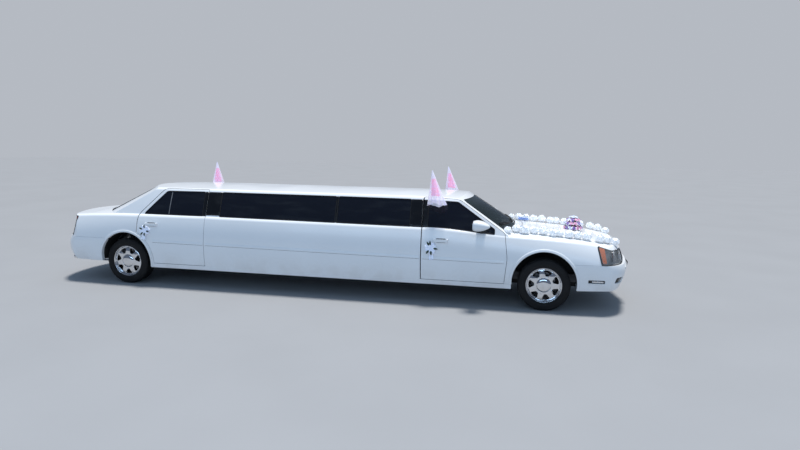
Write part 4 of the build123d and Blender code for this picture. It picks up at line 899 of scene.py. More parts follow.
# Columns: node, door end or None, x of the cut face, way that it looks, heights of its foot and head
EDGE_SLICE = 0.0006
PILLAR_EDGES = [
    ("roof", None, REAR_AXLE + 1.2735, -1, 1.03, 1.40),
    ("roof", None, FRONT_AXLE - 1.592, 1, 1.00, 1.39),
    ("door_rear", "rear", REAR_AXLE + 1.268, 1, 1.03, 1.395),
    ("door_front", "front", FRONT_AXLE - 1.578, -1, 1.00, 1.385),
]


def fit_pillar_panels():
    """Gloss black panels over the posts, so that the side windows read as one dark band."""
    foot, head = 1.045, 1.362
    bar = [(REAR_AXLE + x, z) for x, z in ((0.672, foot), (0.684, foot), (0.692, head), (0.680, head))]
    for hand, side in HANDS.items():
        for number, (node, end, rear, front, low, high) in enumerate(PILLARS):
            node, body = carrier(node, end, hand)
            skin = Skin(node) if end else Skin(node, "side_panels")
            laid_piece(f"pillar_panel_{hand}_{number}", rectangle(rear, low, front, high),
                       skin.flank(side), 0.0024, 0.002, "gloss", body, 0.03)
        pane = Skin(f"glass_rear_{hand}")
        laid_piece(f"window_divider_{hand}", bar, pane.flank(side), 0.002, 0.0015, "trim",
                   body_of_door("rear", hand))
        for number, (node, end, x, way, low, high) in enumerate(PILLAR_EDGES):
            node, body = carrier(node, end, hand)
            limits = ((x - EDGE_SLICE, x + EDGE_SLICE), reach_y(side, 0.62, 0.96), (low, high))
            cut_piece(f"pillar_edge_{hand}_{number}", node, limits, (way, 0, 0), 0.0006, "rubber", body,
                      0.8)


def fit_wheel_well_shade_panels():
    """Dark slabs between the engine and the rails, inboard of the front wheels, that put painted shade in the
    wheel wells seen behind the tyres.
    """
    boxes = []
    for side in HANDS.values():
        low, high = reach_y(side, 0.352, 0.360)
        boxes.append(((FRONT_AXLE - 0.46, low, 0.225), (FRONT_AXLE + 0.54, high, 0.76), 0.002, 1))
    block_piece("front_splash_panels", boxes, "sealer", "body")


def side_stations(skin, start, end, side):
    """Stations on the flank along a straight line of (x, z)."""
    count = max(2, math.ceil(math.dist(start, end) / STATION_STEP))
    stations = []
    for number in range(count + 1):
        share = number / count
        x, z = (low + (high - low) * share for low, high in zip(start, end))
        hit = skin.beside(x, z, side)
        if hit:
            stations.append(hit)
    return stations


# Columns: node, door end or None, ends of the strip's line as (x, z)
RUB_STRIPS = [
    ("door_front", "front", (FRONT_AXLE - 1.562, 0.6215), (FRONT_AXLE - 0.505, 0.611)),
    ("side_panels", None, (REAR_AXLE + 1.292, 0.648), (FRONT_AXLE - 1.605, 0.622)),
    ("door_rear", "rear", (REAR_AXLE + 0.462, 0.656), (REAR_AXLE + 1.256, 0.649)),
]
# Sections as (below the strip's line, out of the flank)
RUB_STRIP = [(-0.022, -0.001), (-0.020, 0.0006), (0.0, 0.0026), (0.0150, 0.0044), (0.0168, 0.0040),
             (0.0174, 0.0012), (0.0174, -0.001)]
RUB_FOOT = [(0.0165, -0.001), (0.0165, 0.0014), (0.0200, 0.0014), (0.0200, -0.001)]
ARCHES = [
    ("front", FRONT_AXLE, ("front_fenders", "front_bumper")),
    ("rear", REAR_AXLE, ("quarter_panels", "rear_bumper")),
]
LIP_REACH = ARCH_RADIUS + 0.017
LIP_START = -14
LIP_TURN = 208
LIP_STEPS = 96
LIP_LEAST_Y = 0.84


def fit_rub_strips(hand, side):
    """Body-coloured rub strips, each on a dark foot."""
    for label, door_end, start, end in RUB_STRIPS:
        node, body = carrier(label, door_end, hand)
        stations = side_stations(Skin(node), start, end, side)
        for look, section, slot in (("paint", RUB_STRIP, "body_paint"),
                                    ("rubber", RUB_FOOT, "black_plastic")):
            section = [(-side * below, out) for below, out in section]
            swept_piece(f"rub_strip_{look}_{label}_{hand}", [stations], section, look, body)


def fit_arch_lips(hand, side):
    """Rolled lips round the wheel arches, where the skin stands out far enough."""
    for end, axle, panels in ARCHES:
        skin = Skin(*panels)
        runs, chain = [], []
        for number in range(LIP_STEPS + 1):
            turn = math.radians(LIP_START + number * LIP_TURN / LIP_STEPS)
            hit = skin.beside(axle + LIP_REACH * math.cos(turn), ARCH_HEIGHT + LIP_REACH * math.sin(turn),
                              side)
            if hit and abs(hit[0].y) > LIP_LEAST_Y:
                chain.append(hit)
            elif len(chain) > 3:
                runs.append(chain)
                chain = []
        if len(chain) > 3:
            runs.append(chain)
        swept_piece(f"arch_lip_{end}_{hand}", runs, bead(0.016, 0.009), "paint", "body")


# Wheels

# Profiles as (radius, out from the wheel's middle plane)
CAP_TOP = 0.1075
RIM_PROFILE = [
    (0.022, 0.107), (0.042, 0.1055), (0.060, 0.103), (0.074, 0.0993), (0.084, 0.0945),
    (0.0895, 0.0905), (0.0925, 0.0872), (0.0955, 0.0862), (0.101, 0.0868), (0.108, 0.0868), (0.115, 0.0862),
]
RIM_OUTSIDE = [
    (0.1965, 0.0745), (0.1995, 0.0738), (0.2025, 0.0750), (0.2055, 0.0800), (0.2085, 0.0870),
    (0.2120, 0.0940), (0.2150, 0.0995), (0.2180, 0.1022), (0.2210, 0.1028), (0.2245, 0.1008),
    (0.226, 0.0965),
]
WHEEL_BARREL = [
    (0.226, 0.0965), (0.2245, 0.092), (0.219, 0.0905), (0.207, 0.088), (0.2065, 0.07), (0.2045, 0.045),
    (0.1975, -0.03), (0.2062, -0.06), (0.2062, -0.088), (0.220, -0.0905), (0.2255, -0.094),
    (0.2255, -0.100), (0.2205, -0.101), (0.2, -0.088), (0.192, -0.055), (0.190, 0.03), (0.199, 0.055),
    (0.1995, 0.0738),
]
WHEEL_HUB = [
    (0.0, 0.064), (0.03, 0.064), (0.034, 0.058), (0.07, 0.056), (0.076, 0.05), (0.076, -0.05),
    (0.06, -0.055), (0.034, -0.055),
]
TYRE_WALL = [
    (0.206, -0.080), (0.2165, -0.0905), (0.2275, -0.0965), (0.2285, -0.0995), (0.246, -0.1065),
    (0.2475, -0.1085), (0.262, -0.1105), (0.281, -0.1108), (0.283, -0.1098), (0.300, -0.108),
    (0.3015, -0.1088), (0.312, -0.105), (0.321, -0.099), (0.327, -0.091), (0.3300, -0.083),
]
BRAKE_DISC = [
    (0.066, 0.024), (0.072, 0.036), (0.09, 0.038), (0.148, 0.038), (0.150, 0.036), (0.150, 0.014),
    (0.148, 0.012), (0.09, 0.012), (0.066, 0.012),
]
DISC_INBOARD = 0.062
TREAD_RADIUS = 0.3318
GROOVE_RADIUS = 0.3245
GROOVES = (-0.058, -0.020, 0.020, 0.058)
CALIPER_TURNS = {"front": -58, "rear": 62}
HUB_RADIUS = 0.115
RIM_RADIUS = 0.1965
HUB_OUT = 0.0862
RIM_OUT = 0.0745
WINDOW_RINGS = 11
# Places from a window's middle: 1 is its edge, the last the middle of the next spoke
SECTOR_MARKS = (0.0, 0.5, 1.0, 1.12, 1.5, 2.0, 2.6)
WINDOW_NEAR = 0.119
WINDOW_FAR = 0.1925
WINDOW_NEAR_HALF = math.radians(7.5)
WINDOW_FAR_HALF = math.radians(17.5)
RIM_TURNS = {"front": math.radians(15.5), "rear": math.radians(25.5)}


def spoke_height(radius):
    """How far out the spokes' crowns stand between the hub and the rim."""
    share = (radius - HUB_RADIUS) / (RIM_RADIUS - HUB_RADIUS)
    return HUB_OUT + (RIM_OUT - HUB_OUT) * share + 0.0035 * math.sin(math.pi * share)


def window_half(radius):
    """Half the angle of a wheel window at a radius: a trapezoid with rounded corners."""
    share = (radius - WINDOW_NEAR) / (WINDOW_FAR - WINDOW_NEAR)
    wide = WINDOW_NEAR_HALF + (WINDOW_FAR_HALF - WINDOW_NEAR_HALF) * share
    return wide * max(1 - abs(2 * share - 1) ** 5.5, 0.0) ** (1 / 2.4) + math.radians(0.4)


def sector_half(width, sector, windowed):
    """[(angle, drop, mark)] from a window's middle to the middle of a spoke."""
    turns = []
    for mark in SECTOR_MARKS:
        if mark <= 1.0:
            angle = width * mark
        else:
            angle = width + (sector - width) * (mark - 1.0) / (SECTOR_MARKS[-1] - 1.0)
        drop = 0.0
        if windowed:
            edge = (angle - width) / max(sector - width, 1e-6)
            drop = 0.0038 if mark <= 1.0 else 0.0005 - 0.002 * math.sin(math.pi * min(edge, 1.0) / 2)
        turns.append((angle, drop, mark))
    return turns


def rim_face(bm, centre, side, spokes, turned):
    """The polished face of a wheel: domed cap, broad spokes, open windows and a stepped lip."""
    rings = [(radius, out, None) for radius, out in RIM_PROFILE]
    for number in range(WINDOW_RINGS + 1):
        share = 0.5 - 0.5 * math.cos(math.pi * number / WINDOW_RINGS)
        radius = WINDOW_NEAR + (WINDOW_FAR - WINDOW_NEAR) * share
        rings.append((radius, spoke_height(radius), window_half(radius)))
    rings += [(radius, out, None) for radius, out in RIM_OUTSIDE]
    sector = math.pi / spokes
    rows = []
    for radius, out, half in rings:
        row = []
        width = half or window_half(min(max(radius, WINDOW_NEAR + 0.004), WINDOW_FAR - 0.004))
        turns = sector_half(width, sector, half is not None)
        for spoke in range(spokes):
            for hand, run in ((-1, turns[:0:-1]), (1, turns[:-1])):
                for angle, drop, mark in run:
                    angle = spoke * 2 * sector + hand * angle + turned
                    place = Vector((radius * math.sin(angle), side * (out - drop), radius * math.cos(angle)))
                    row.append((bm.verts.new(Vector(centre) + place), mark))
        rows.append(row)
    pole = bm.verts.new(Vector(centre) + Vector((0, side * CAP_TOP, 0)))
    for number, row in enumerate(rows):
        windowed = number and rings[number][2] is not None and rings[number - 1][2] is not None
        for step in range(len(row)):
            after = (step + 1) % len(row)
            if not number:
                bm.faces.new((pole, row[step][0], row[after][0]))
            elif not (windowed and row[step][1] <= 1.0 and row[after][1] <= 1.0):
                back = rows[number - 1]
                bm.faces.new((back[step][0], row[step][0], row[after][0], back[after][0]))
    bmesh.ops.remove_doubles(bm, verts=bm.verts, dist=1e-5)
    loose = [vertex for vertex in bm.verts if not vertex.link_faces]
    bmesh.ops.delete(bm, geom=loose, context="VERTS")
    line_windows(bm, Vector(centre), side, sector, turned, rings[-1][0] - 0.01)


def line_windows(bm, middle, side, sector, turned, within):
    """Gives each window of a rim its inner wall, which narrows with its depth."""
    openings = []
    for edge in bm.edges:
        away = edge.verts[0].co - middle
        if len(edge.link_faces) == 1 and math.hypot(away.x, away.z) < within:
            openings.append(edge)
    for depth, pull in ((0.006, 0.0), (0.034, 0.006)):
        grown = bmesh.ops.extrude_edge_only(bm, edges=openings)["geom"]
        corners = [item for item in grown if isinstance(item, bmesh.types.BMVert)]
        openings = [item for item in grown if isinstance(item, bmesh.types.BMEdge)]
        openings = [edge for edge in openings if len(edge.link_faces) == 1]
        for vertex in corners:
            away = vertex.co - middle
            vertex.co.y -= side * depth
            angle = math.atan2(away.x, away.z) - turned
            centre_angle = round(angle / (2 * sector)) * 2 * sector + turned
            heart = middle + Vector((math.sin(centre_angle), 0, math.cos(centre_angle))) * 0.16
            heart.y = vertex.co.y
            vertex.co += (heart - vertex.co).normalized() * pull


def fit_rim(end, hand, body, centre, side, spokes):
    """The wheel itself with its hub."""
    bm = bmesh.new()
    rim_face(bm, centre, side, spokes, RIM_TURNS[end])
    lathe(bm, WHEEL_BARREL, centre, (0, side, 0), 98)
    tidy(bm)
    piece(f"wheel_{end}_{hand}", bm, "chrome", body, (f"rim_{end}_{hand}",), 34)
    turned_piece(f"wheel_hub_{end}_{hand}", WHEEL_HUB, [centre], (0, side, 0), 48, "cast", body)


def fit_tyre(end, hand, body, centre, side, lug_count):
    """A grooved tyre with tread blocks round both shoulders."""
    crown = []
    for place in GROOVES:
        crown += [(TREAD_RADIUS, place - 0.0055), (GROOVE_RADIUS, place - 0.004),
                  (GROOVE_RADIUS, place + 0.004), (TREAD_RADIUS, place + 0.0055)]
    profile = TYRE_WALL + crown + [(radius, -along) for radius, along in reversed(TYRE_WALL)]
    bm = bmesh.new()
    lathe(bm, profile, centre, (0, side, 0), 112)
    lathe(bm, [(0.206, -0.08), (0.206, 0.08)], centre, (0, side, 0), 112)
    tidy(bm)
    piece(f"tyre_{end}_{hand}_rubber", bm, "tyre", body, (f"tyre_{end}_{hand}",), 30)
    bm = bmesh.new()
    for inner, outer in ((-0.026, 0.0), (0.0, 0.026)):
        shoulder = centre[1] + (-0.066 if inner else 0.066)
        block(bm, (centre[0] - 0.0085, shoulder + inner, AXLE_HEIGHT + 0.318),
              (centre[0] + 0.0085, shoulder + outer, AXLE_HEIGHT + TREAD_RADIUS), 0.003, 1)
    lugs = plain_piece(f"tyre_shoulder_lugs_{end}_{hand}", bm, "tyre")
    repeat(lugs, "around", count=lug_count, centre=centre, finish=finish("tyre"))
    seat(lugs, body)


def fit_brake(end, hand, body, centre, side):
    """A disc that spins, a caliper that doesn't, and the wheel's valve."""
    disc = [(radius, along - DISC_INBOARD) for radius, along in BRAKE_DISC]
    turned_piece(f"brake_disc_{end}_{hand}", disc, [centre], (0, side, 0), 72, "disc", body, True)
    bm = bmesh.new()
    turn = Matrix.Translation(centre) @ Matrix.Rotation(math.radians(CALIPER_TURNS[end]), 4, "Y")
    inner = -0.075 if side > 0 else -0.005
    block(bm, (-0.075, inner, 0.098), (0.075, inner + 0.080, 0.166), 0.012, 3, turn)
    knuckle = f"{hand}_knuckle" if end == "front" else "body"
    piece(f"brake_caliper_{end}_{hand}", bm, "cast", knuckle)
    bm = bmesh.new()
    reach, lean = 0.201, 0.05
    stem = Vector(centre) + Vector((reach * math.sin(lean), side * 0.078, reach * math.cos(lean)))
    tube(bm, [stem, stem + Vector((0, side * 0.018, 0))], 0.0035)
    piece(f"valve_stem_{end}_{hand}", bm, "plastic", body)


def fit_wheels(settings):
    for end, hand in CORNERS:
        side = HANDS[hand]
        axle = FRONT_AXLE if end == "front" else REAR_AXLE
        place = (end, hand, f"{end}_{hand}_wheel", (axle, side * HALF_TRACKS[end], AXLE_HEIGHT), side)
        fit_rim(*place, settings.spokes)
        fit_tyre(*place, settings.shoulder_lugs)
        fit_brake(*place)


# Lamps, grille, plates and bumper fittings

# The grille falls back by y squared over this
NOSE_SWEEP = 5.2
PLATE_HALF_WIDTH = 0.168
PLATE_HALF_HEIGHT = 0.079
PLATE_SCREW_Y = 0.089
PLATE_SCREW = [(0.0, 0.004), (0.004, 0.0036), (0.0068, 0.0012), (0.007, -0.002), (0.0, -0.002)]
EXHAUST_TIP = [(0.0, 0.0), (0.030, 0.0), (0.032, 0.003), (0.032, 0.11), (0.029, 0.113), (0.027, 0.11),
               (0.027, 0.02)]

def fit_lamp_surround(name, node, facing, side, radius):
    """A dark rubber cord round the face of one lamp."""
    runs = [run for run in long_rims(node, facing, 0.12, 0.014, 20) if run[0][0].y * side > 0]
    swept_piece(name, runs, cord_section(radius, 8, 0.0008), "plastic", "body", closed=True)


def fit_bowls(hand, side):
    """Two polished bowls with their bulbs' shields, behind one headlamp's lens."""
    shield = [(0.0, -0.034), (0.012, -0.033), (0.018, -0.020), (0.016, -0.014), (0.0, -0.012)]
    skin = Skin("headlamps")
    aim = Vector((0.96, side * 0.24, 0.05)).normalized()
    bm = bmesh.new()
    for across, height, radius in ((0.80, 0.735, 0.062), (0.635, 0.728, 0.056)):
        middle = skin.ahead(side * across, height)[0]
        bowl = [(0.016, -0.036), (radius * 0.6, -0.028), (radius * 0.9, -0.014), (radius, -0.004),
                (radius + 0.003, -0.004), (radius * 0.93, -0.018), (radius * 0.6, -0.033), (0.016, -0.040)]
        lathe(bm, shield, middle, aim, 24)
        lathe(bm, bowl, middle, aim, 40, closed=True)
    tidy(bm)
    piece(f"headlamp_bowls_{hand}", bm, "chrome", "body")


def fit_lamps():
    """Clear headlamps over reflectors with amber corners, and fluted red tail lamps."""
    for node, look in (("headlamps", "clear_lens"), ("tail_lamps", "red_lens")):
        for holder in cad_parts[node].material_slots:
            holder.material = finish(look)
    head, tail = Skin("headlamps"), Skin("tail_lamps")
    corner = rounded([(3.722, 0.842), (3.792, 0.824), (3.822, 0.650), (3.775, 0.646)], 0.012)
    for hand, side in HANDS.items():
        ahead = (0.72, side * 0.7, 0.12)
        fit_lamp_surround(f"headlamp_surround_{hand}", "headlamps", ahead, side, 0.0062)
        limits = ((3.6, 4.2), reach_y(side, 0.44, 0.95), (0.6, 0.9))
        cut_piece(f"headlamp_back_{hand}", "headlamps", limits, ahead, -0.030, "trim", "body",
                  0.12)
        laid_piece(f"turn_lamp_{hand}", corner, head.flank(side), -0.004, 0.006, "amber_lens", "body",
                   0.012)
        fit_bowls(hand, side)
        behind = (-0.72, side * 0.7, 0.1)
        fit_lamp_surround(f"tail_lamp_surround_{hand}", "tail_lamps", behind, side, 0.005)
        outline = [(side * 0.672, 0.715), (side * 0.765, 0.715), (side * 0.755, 0.765), (side * 0.672, 0.765)]
        laid_piece(f"reversing_lamp_{hand}", rounded(outline, 0.01), tail.behind, 0.0012, 0.003,
                   "clear_lens", "body", 0.012)


def fit_grille():
    """A bright frame with upright bars before a dark mesh."""
    skin = Skin("nose_panel")
    half, low, high = 0.405, 0.640, 0.770
    foot, head = low + 0.004, high - 0.004
    stations = []
    for y, z in rounded(rectangle(-half, low, half, high), 0.022, 5):
        hit = skin.ahead(y * 1.03, z + (0.006 if z > 0.7 else -0.006))
        stations.append((Vector((hit[0].x, y, z)), hit[1]))
    swept_piece("grille_frame", [spaced(stations, 0.02)], bead(0.011, 0.010, 0.02), "chrome", "body",
                closed=True)
    reach = skin.ahead(0, 0.78)[0].x
    bm = bmesh.new()
    block(bm, (reach - 0.032, -0.0026, foot), (reach - 0.006, 0.0026, head), 0.0018, 2)
    bars = plain_piece("grille_bars", bm, "chrome")
    repeat(bars, "row", count=41, start=(0.0, -0.38, 0.0), step=(0.0, 0.019, 0.0), finish=finish("chrome"))
    for vertex in bars.data.vertices:
        vertex.co.x -= vertex.co.y ** 2 / NOSE_SWEEP
    seat(bars, "body", ("grille",))
    bm = bmesh.new()
    across = [number * 0.04 - 0.4 for number in range(21)]
    for height in (0.683, 0.727):
        tube(bm, [(reach - 0.016 - y * y / NOSE_SWEEP, y, height) for y in across], 0.0036)
    piece("grille_cross_bars", bm, "chrome", "body")
    backing = ((reach - 0.075, -0.395, foot), (reach - 0.062, 0.395, head), 0.003)
    block_piece("grille_backing", [backing], "plastic", "body")


def plate_with_frame(name, body, look_up, height, facing):
    """A bare number plate in a slim frame, held by two screws over the plate holes."""
    place, normal = look_up(0.0, height)
    steep = abs(normal.z) > 0.6
    lean = Vector((facing, 0, 0)) if steep else Vector((normal.x, 0, normal.z)).normalized()
    up = Vector((0, 0, 1)) - lean * lean.z
    up.normalize()
    across = up.cross(lean)
    base = place + lean * 0.004
    for part, look, grow, thick in (("frame", "plastic", 0.010, 0.007), ("sheet", "plate", 0.0, 0.010)):
        bm = bmesh.new()
        wide, tall = PLATE_HALF_WIDTH + grow, PLATE_HALF_HEIGHT + grow
        corners = rounded(rectangle(-wide, -tall, wide, tall), 0.014)
        front = [bm.verts.new(base + across * u + up * v + lean * thick) for u, v in corners]
        back = [bm.verts.new(base + across * u + up * v) for u, v in corners]
        bm.faces.new(front)
        bm.faces.new(back[::-1])
        join_rings(bm, back, front)
        tidy(bm)
        piece(f"{name}_{part}", bm, look, body)
    heads = [base + across * (side * PLATE_SCREW_Y) + lean * 0.010 for side in (-1, 1)]
    turned_piece(f"{name}_screws", PLATE_SCREW, heads, lean, 20, "steel", body)


def fit_corner_lamps(front, hand, side):
    """A side marker in its slot and a round fog lamp in its recess, at one corner of the bumper."""
    def fog_place(u, v):
        return front.ahead(side * (0.762 + u), 0.428 + v)

    slot = rounded(rectangle(FRONT_AXLE + 0.539, 0.431, FRONT_AXLE + 0.735, 0.393), 0.008)
    laid_piece(f"side_marker_slot_{hand}", slot, front.flank(side), 0.0012, 0.003, "plastic", "body")
    lamp = rounded(rectangle(FRONT_AXLE + 0.580, 0.422, FRONT_AXLE + 0.725, 0.402), 0.005)
    laid_piece(f"side_marker_lamp_{hand}", lamp, front.flank(side), 0.006, 0.004, "chrome", "body")
    recess = rounded(rectangle(-0.069, -0.032, 0.069, 0.032), 0.014)
    laid_piece(f"fog_lamp_recess_{hand}", recess, fog_place, 0.0012, 0.003, "plastic", "body")
    turns = [number * math.tau / 24 for number in range(24)]
    round_face = [(0.026 * math.cos(turn) - 0.01, 0.027 * math.sin(turn)) for turn in turns]
    laid_piece(f"fog_lamp_{hand}", round_face, fog_place, 0.009, 0.006, "clear_lens", "body",
               0.012)


def fit_bumper_fittings():
    front = Skin("front_bumper", "nose_panel")
    rear = Skin("rear_bumper")
    lid = Skin("trunk_lid")
    plate_with_frame("front_plate", "body", front.ahead, 0.480, 1)
    plate_with_frame("rear_plate", "trunk_lid", lid.behind, 0.800, -1)
    for hand, side in HANDS.items():
        fit_corner_lamps(front, hand, side)
    intake = rounded(rectangle(-0.464, 0.324, 0.464, 0.380), 0.016)
    laid_piece("lower_intake", intake, front.ahead, 0.0012, 0.003, "plastic", "body", 0.04)
    slats = [level_row(front.ahead, 0.45, height) for height in (0.335, 0.352, 0.369)]
    swept_piece("lower_intake_slats", slats, bead(0.0035, 0.006, 0.001), "rubber", "body")
    for name, look_up, half in (("front_bumper_strip", front.ahead, 0.62),
                                ("rear_bumper_strip", rear.behind, 0.66)):
        swept_piece(name, [level_row(look_up, half, 0.560)], bead(0.014, 0.005), "paint", "body")
    swept_piece("trunk_lid_bright_strip", [level_row(lid.behind, 0.45, 0.905)], bead(0.012, 0.006),
                "chrome", "trunk_lid")
    bm = bmesh.new()
    for side in (-1, 1):
        lathe(bm, EXHAUST_TIP, (REAR_AXLE - 1.06, side * 0.56, 0.285), (-1, 0, 0), 32)
        tube(bm, [(REAR_AXLE - 0.50, side * 0.50, 0.27), (REAR_AXLE - 0.8, side * 0.53, 0.27),
                  (REAR_AXLE - 1.07, side * 0.56, 0.285)], 0.024, 14)
    tidy(bm)
    piece("exhaust_tips", bm, "chrome", "body")


def squared(value, power):
    """A sine or cosine, pushed outwards for a squarer round."""
    return math.copysign(abs(value) ** (2 / power), value)


def soft_block(bm, centre, sizes, power, rings=14, turns=28, matrix=None):
    """A rounded box of half sizes: the higher its power, the squarer."""
    rows = []
    for ring in range(rings + 1):
        rise = -math.pi / 2 + math.pi * ring / rings
        flat = squared(math.cos(rise), power)
        row = []
        for step in range(turns):
            turn = math.tau * step / turns
            spot = Vector((sizes[0] * flat * squared(math.cos(turn), power),
                           sizes[1] * flat * squared(math.sin(turn), power),
                           sizes[2] * squared(math.sin(rise), power)))
            if matrix is not None:
                spot = matrix @ spot
            row.append(bm.verts.new(Vector(centre) + spot))
        rows.append(row)
    for low, high in zip(rows, rows[1:]):
        join_rings(bm, low, high)


MIRROR_SIZE = (0.122, 0.103, 0.070)
MIRROR_CUT = -0.76
# The mirror foot's rings: distance from the car's middle, half depth, half height, height of the middle
MIRROR_FOOT = [(0.866, 0.062, 0.030, 0.978), (0.880, 0.058, 0.027, 1.000), (0.905, 0.048, 0.024, 1.026),
               (0.935, 0.044, 0.022, 1.040)]


def fit_mirrors():
    """Long painted housings that taper forward, on dark feet at the windows' front corners."""
    for hand, side in HANDS.items():
        body = body_of_door("front", hand)
        bm = bmesh.new()
        centre = Vector((FRONT_AXLE - 0.812, side * 1.000, 1.074))
        lean = Matrix.Rotation(math.radians(-7 * side), 3, "Z")
        soft_block(bm, centre, MIRROR_SIZE, 2.8, matrix=lean)
        for vertex in bm.verts:
            along = (vertex.co.x - centre.x) / MIRROR_SIZE[0]
            if along < MIRROR_CUT:
                vertex.co.x -= (along - MIRROR_CUT) * MIRROR_SIZE[0] * 0.85
            taper = 1 - 0.42 * max(along + 0.3, 0.0) ** 1.5
            vertex.co.z = centre.z - 0.008 + (vertex.co.z - centre.z + 0.008) * taper
            vertex.co.y = centre.y + (vertex.co.y - centre.y) * (1 - 0.12 * max(along, 0.0) ** 2)
        tidy(bm)
        piece(f"mirror_housing_{hand}", bm, "paint", body, (f"mirror_{hand}",), 60)
        bm = bmesh.new()
        face = centre + Vector((-0.0960, side * 0.002, 0))
        soft_block(bm, face, (0.004, 0.088, 0.057), 3.2, 10, 28, lean)
        tidy(bm)
        piece(f"mirror_glass_{hand}", bm, "chrome", body, (), 50)
        bm = bmesh.new()
        turns = [number * math.tau / 16 for number in range(16)]
        rings = [[bm.verts.new((FRONT_AXLE - 0.81 + deep * math.cos(turn), side * reach,
                                height + tall * math.sin(turn))) for turn in turns]
                 for reach, deep, tall, height in MIRROR_FOOT]
        for first, second in zip(rings, rings[1:]):
            join_rings(bm, first, second)
        bm.faces.new(rings[0])
        bm.faces.new(rings[-1])
        tidy(bm)
        piece(f"mirror_foot_{hand}", bm, "plastic", body)


# Handle cups of each end's doors: x and height of the middle, and y of the floor, which carries a dark sheet
# of painted shade
HANDLE_CUPS = {"front": (FRONT_AXLE - 1.325, 0.850, 0.9092), "rear": (REAR_AXLE + 0.432, 0.895, 0.9112)}


def fit_handle_cup_shades():
    """A dark sheet on the floor of the cup behind each pull handle: painted shade inside the cup."""
    for end, hand in CORNERS:
        side = HANDS[hand]
        x, z, floor = HANDLE_CUPS[end]
        bm = bmesh.new()
        outline = rounded(rectangle(x - 0.069, z - 0.026, x + 0.069, z + 0.026), 0.022)
        bm.faces.new([bm.verts.new((u, side * floor, v)) for u, v in outline])
        # The cup's floor is a dark sheet that paints the shade inside the cup.
        cup = piece(f"handle_cup_{end}_{hand}", bm, "plastic", body_of_door(end, hand))
        thicken(cup, 0.0016, 0.0)


# Cabin

CUSHION_POWER = 5.0
CUSHION_CUTS = 18
CUSHION_CROWN = 0.16
CUSHION_WAIST = 0.035


def pad_form(bm, centre, sizes, matrix, channels):
    """A crowned cushion: full in its middle, pulled in between its corners, sewn in channels."""
    tangents = [math.tan(math.pi / 4 * (2 * number / CUSHION_CUTS - 1))
                for number in range(CUSHION_CUTS + 1)]
    for axis in range(3):
        for end in (-1.0, 1.0):
            rows = []
            for first in tangents:
                row = []
                for second in tangents:
                    spot = [0.0, 0.0, 0.0]
                    spot[axis] = end
                    spot[(axis + 1) % 3] = first
                    spot[(axis + 2) % 3] = second
                    row.append(bm.verts.new(spot))
                rows.append(row)
            for low, high in zip(rows, rows[1:]):
                for number in range(CUSHION_CUTS):
                    bm.faces.new((low[number], high[number], high[number + 1], low[number + 1]))
    bmesh.ops.remove_doubles(bm, verts=bm.verts, dist=1e-4)
    for vertex in bm.verts:
        x, y, z = vertex.co
        total = abs(x) ** CUSHION_POWER + abs(y) ** CUSHION_POWER + abs(z) ** CUSHION_POWER
        reach = total ** (1 / CUSHION_POWER)
        x, y, z = x / reach, y / reach, z / reach
        full = max(0.0, 1 - x * x) * max(0.0, 1 - y * y)
        rise = z * (1 + CUSHION_CROWN * full)
        for number in range(1, channels):
            line = -1 + 2 * number / channels
            away = (x - line) * sizes[0] / 0.011
            rise -= math.copysign(0.16, z) * math.exp(-away * away) * min(1.0, abs(z) * 1.4)
        spot = Vector((x * (1 - CUSHION_WAIST * (1 - y * y)) * sizes[0],
                       y * (1 - CUSHION_WAIST * (1 - x * x)) * sizes[1], rise * sizes[2]))
        vertex.co = Vector(centre) + matrix @ spot


def piping(bm, centre, sizes, matrix):
    """A sewn cord round a cushion's waist."""
    stations = []
    for number in range(72):
        turn = math.tau * number / 72
        x, y = squared(math.cos(turn), CUSHION_POWER), squared(math.sin(turn), CUSHION_POWER)
        spot = Vector((x * (1 - CUSHION_WAIST * (1 - y * y)) * sizes[0],
                       y * (1 - CUSHION_WAIST * (1 - x * x)) * sizes[1], 0.0))
        stations.append((Vector(centre) + matrix @ spot, matrix @ Vector((x, y, 0.0)).normalized()))
    sweep(bm, spaced(stations, 0.02), cord_section(0.0045, 6), closed=True)


def cushion(name, centre, sizes, lean, channels, axis="Y", replaces=()):
    matrix = Matrix.Rotation(math.radians(lean), 3, axis)
    bm = bmesh.new()
    pad_form(bm, centre, sizes, matrix, channels)
    tidy(bm)
    pad = piece(name, bm, "hide", "body", replaces, 70)
    bm = bmesh.new()
    piping(bm, centre, [value * 1.003 for value in sizes], matrix)
    tidy(bm)
    piece(f"{name}_piping", bm, "dark_hide", "body")


def fit_front_seats():
    """Two sewn front seats on moulded frames, their headrests on posts."""
    foot = FRONT_AXLE - 1.560
    for hand, side in HANDS.items():
        y = side * 0.370
        cushion(f"front_seat_squab_{hand}", (foot + 0.330, y, 0.505), (0.225, 0.235, 0.062), -3, 4,
                replaces=("front_seats",) if side < 0 else ())
        cushion(f"front_seat_back_{hand}", (foot + 0.068, y, 0.765), (0.225, 0.235, 0.055), 80, 4)
        cushion(f"front_headrest_{hand}", (foot + 0.012, y, 1.040), (0.052, 0.125, 0.036), 80, 0)
        bm = bmesh.new()
        block(bm, (foot + 0.06, y - 0.235, 0.308), (foot + 0.53, y + 0.235, 0.452), 0.018, 3)
        block(bm, (foot - 0.035, y - 0.225, 0.53), (foot + 0.008, y + 0.225, 0.98), 0.014, 3)
        for post in (-0.05, 0.05):
            tube(bm, [(foot + 0.02, y + post, 0.96), (foot + 0.012, y + post, 1.03)], 0.006)
        piece(f"front_seat_frame_{hand}", bm, "trim", "body")


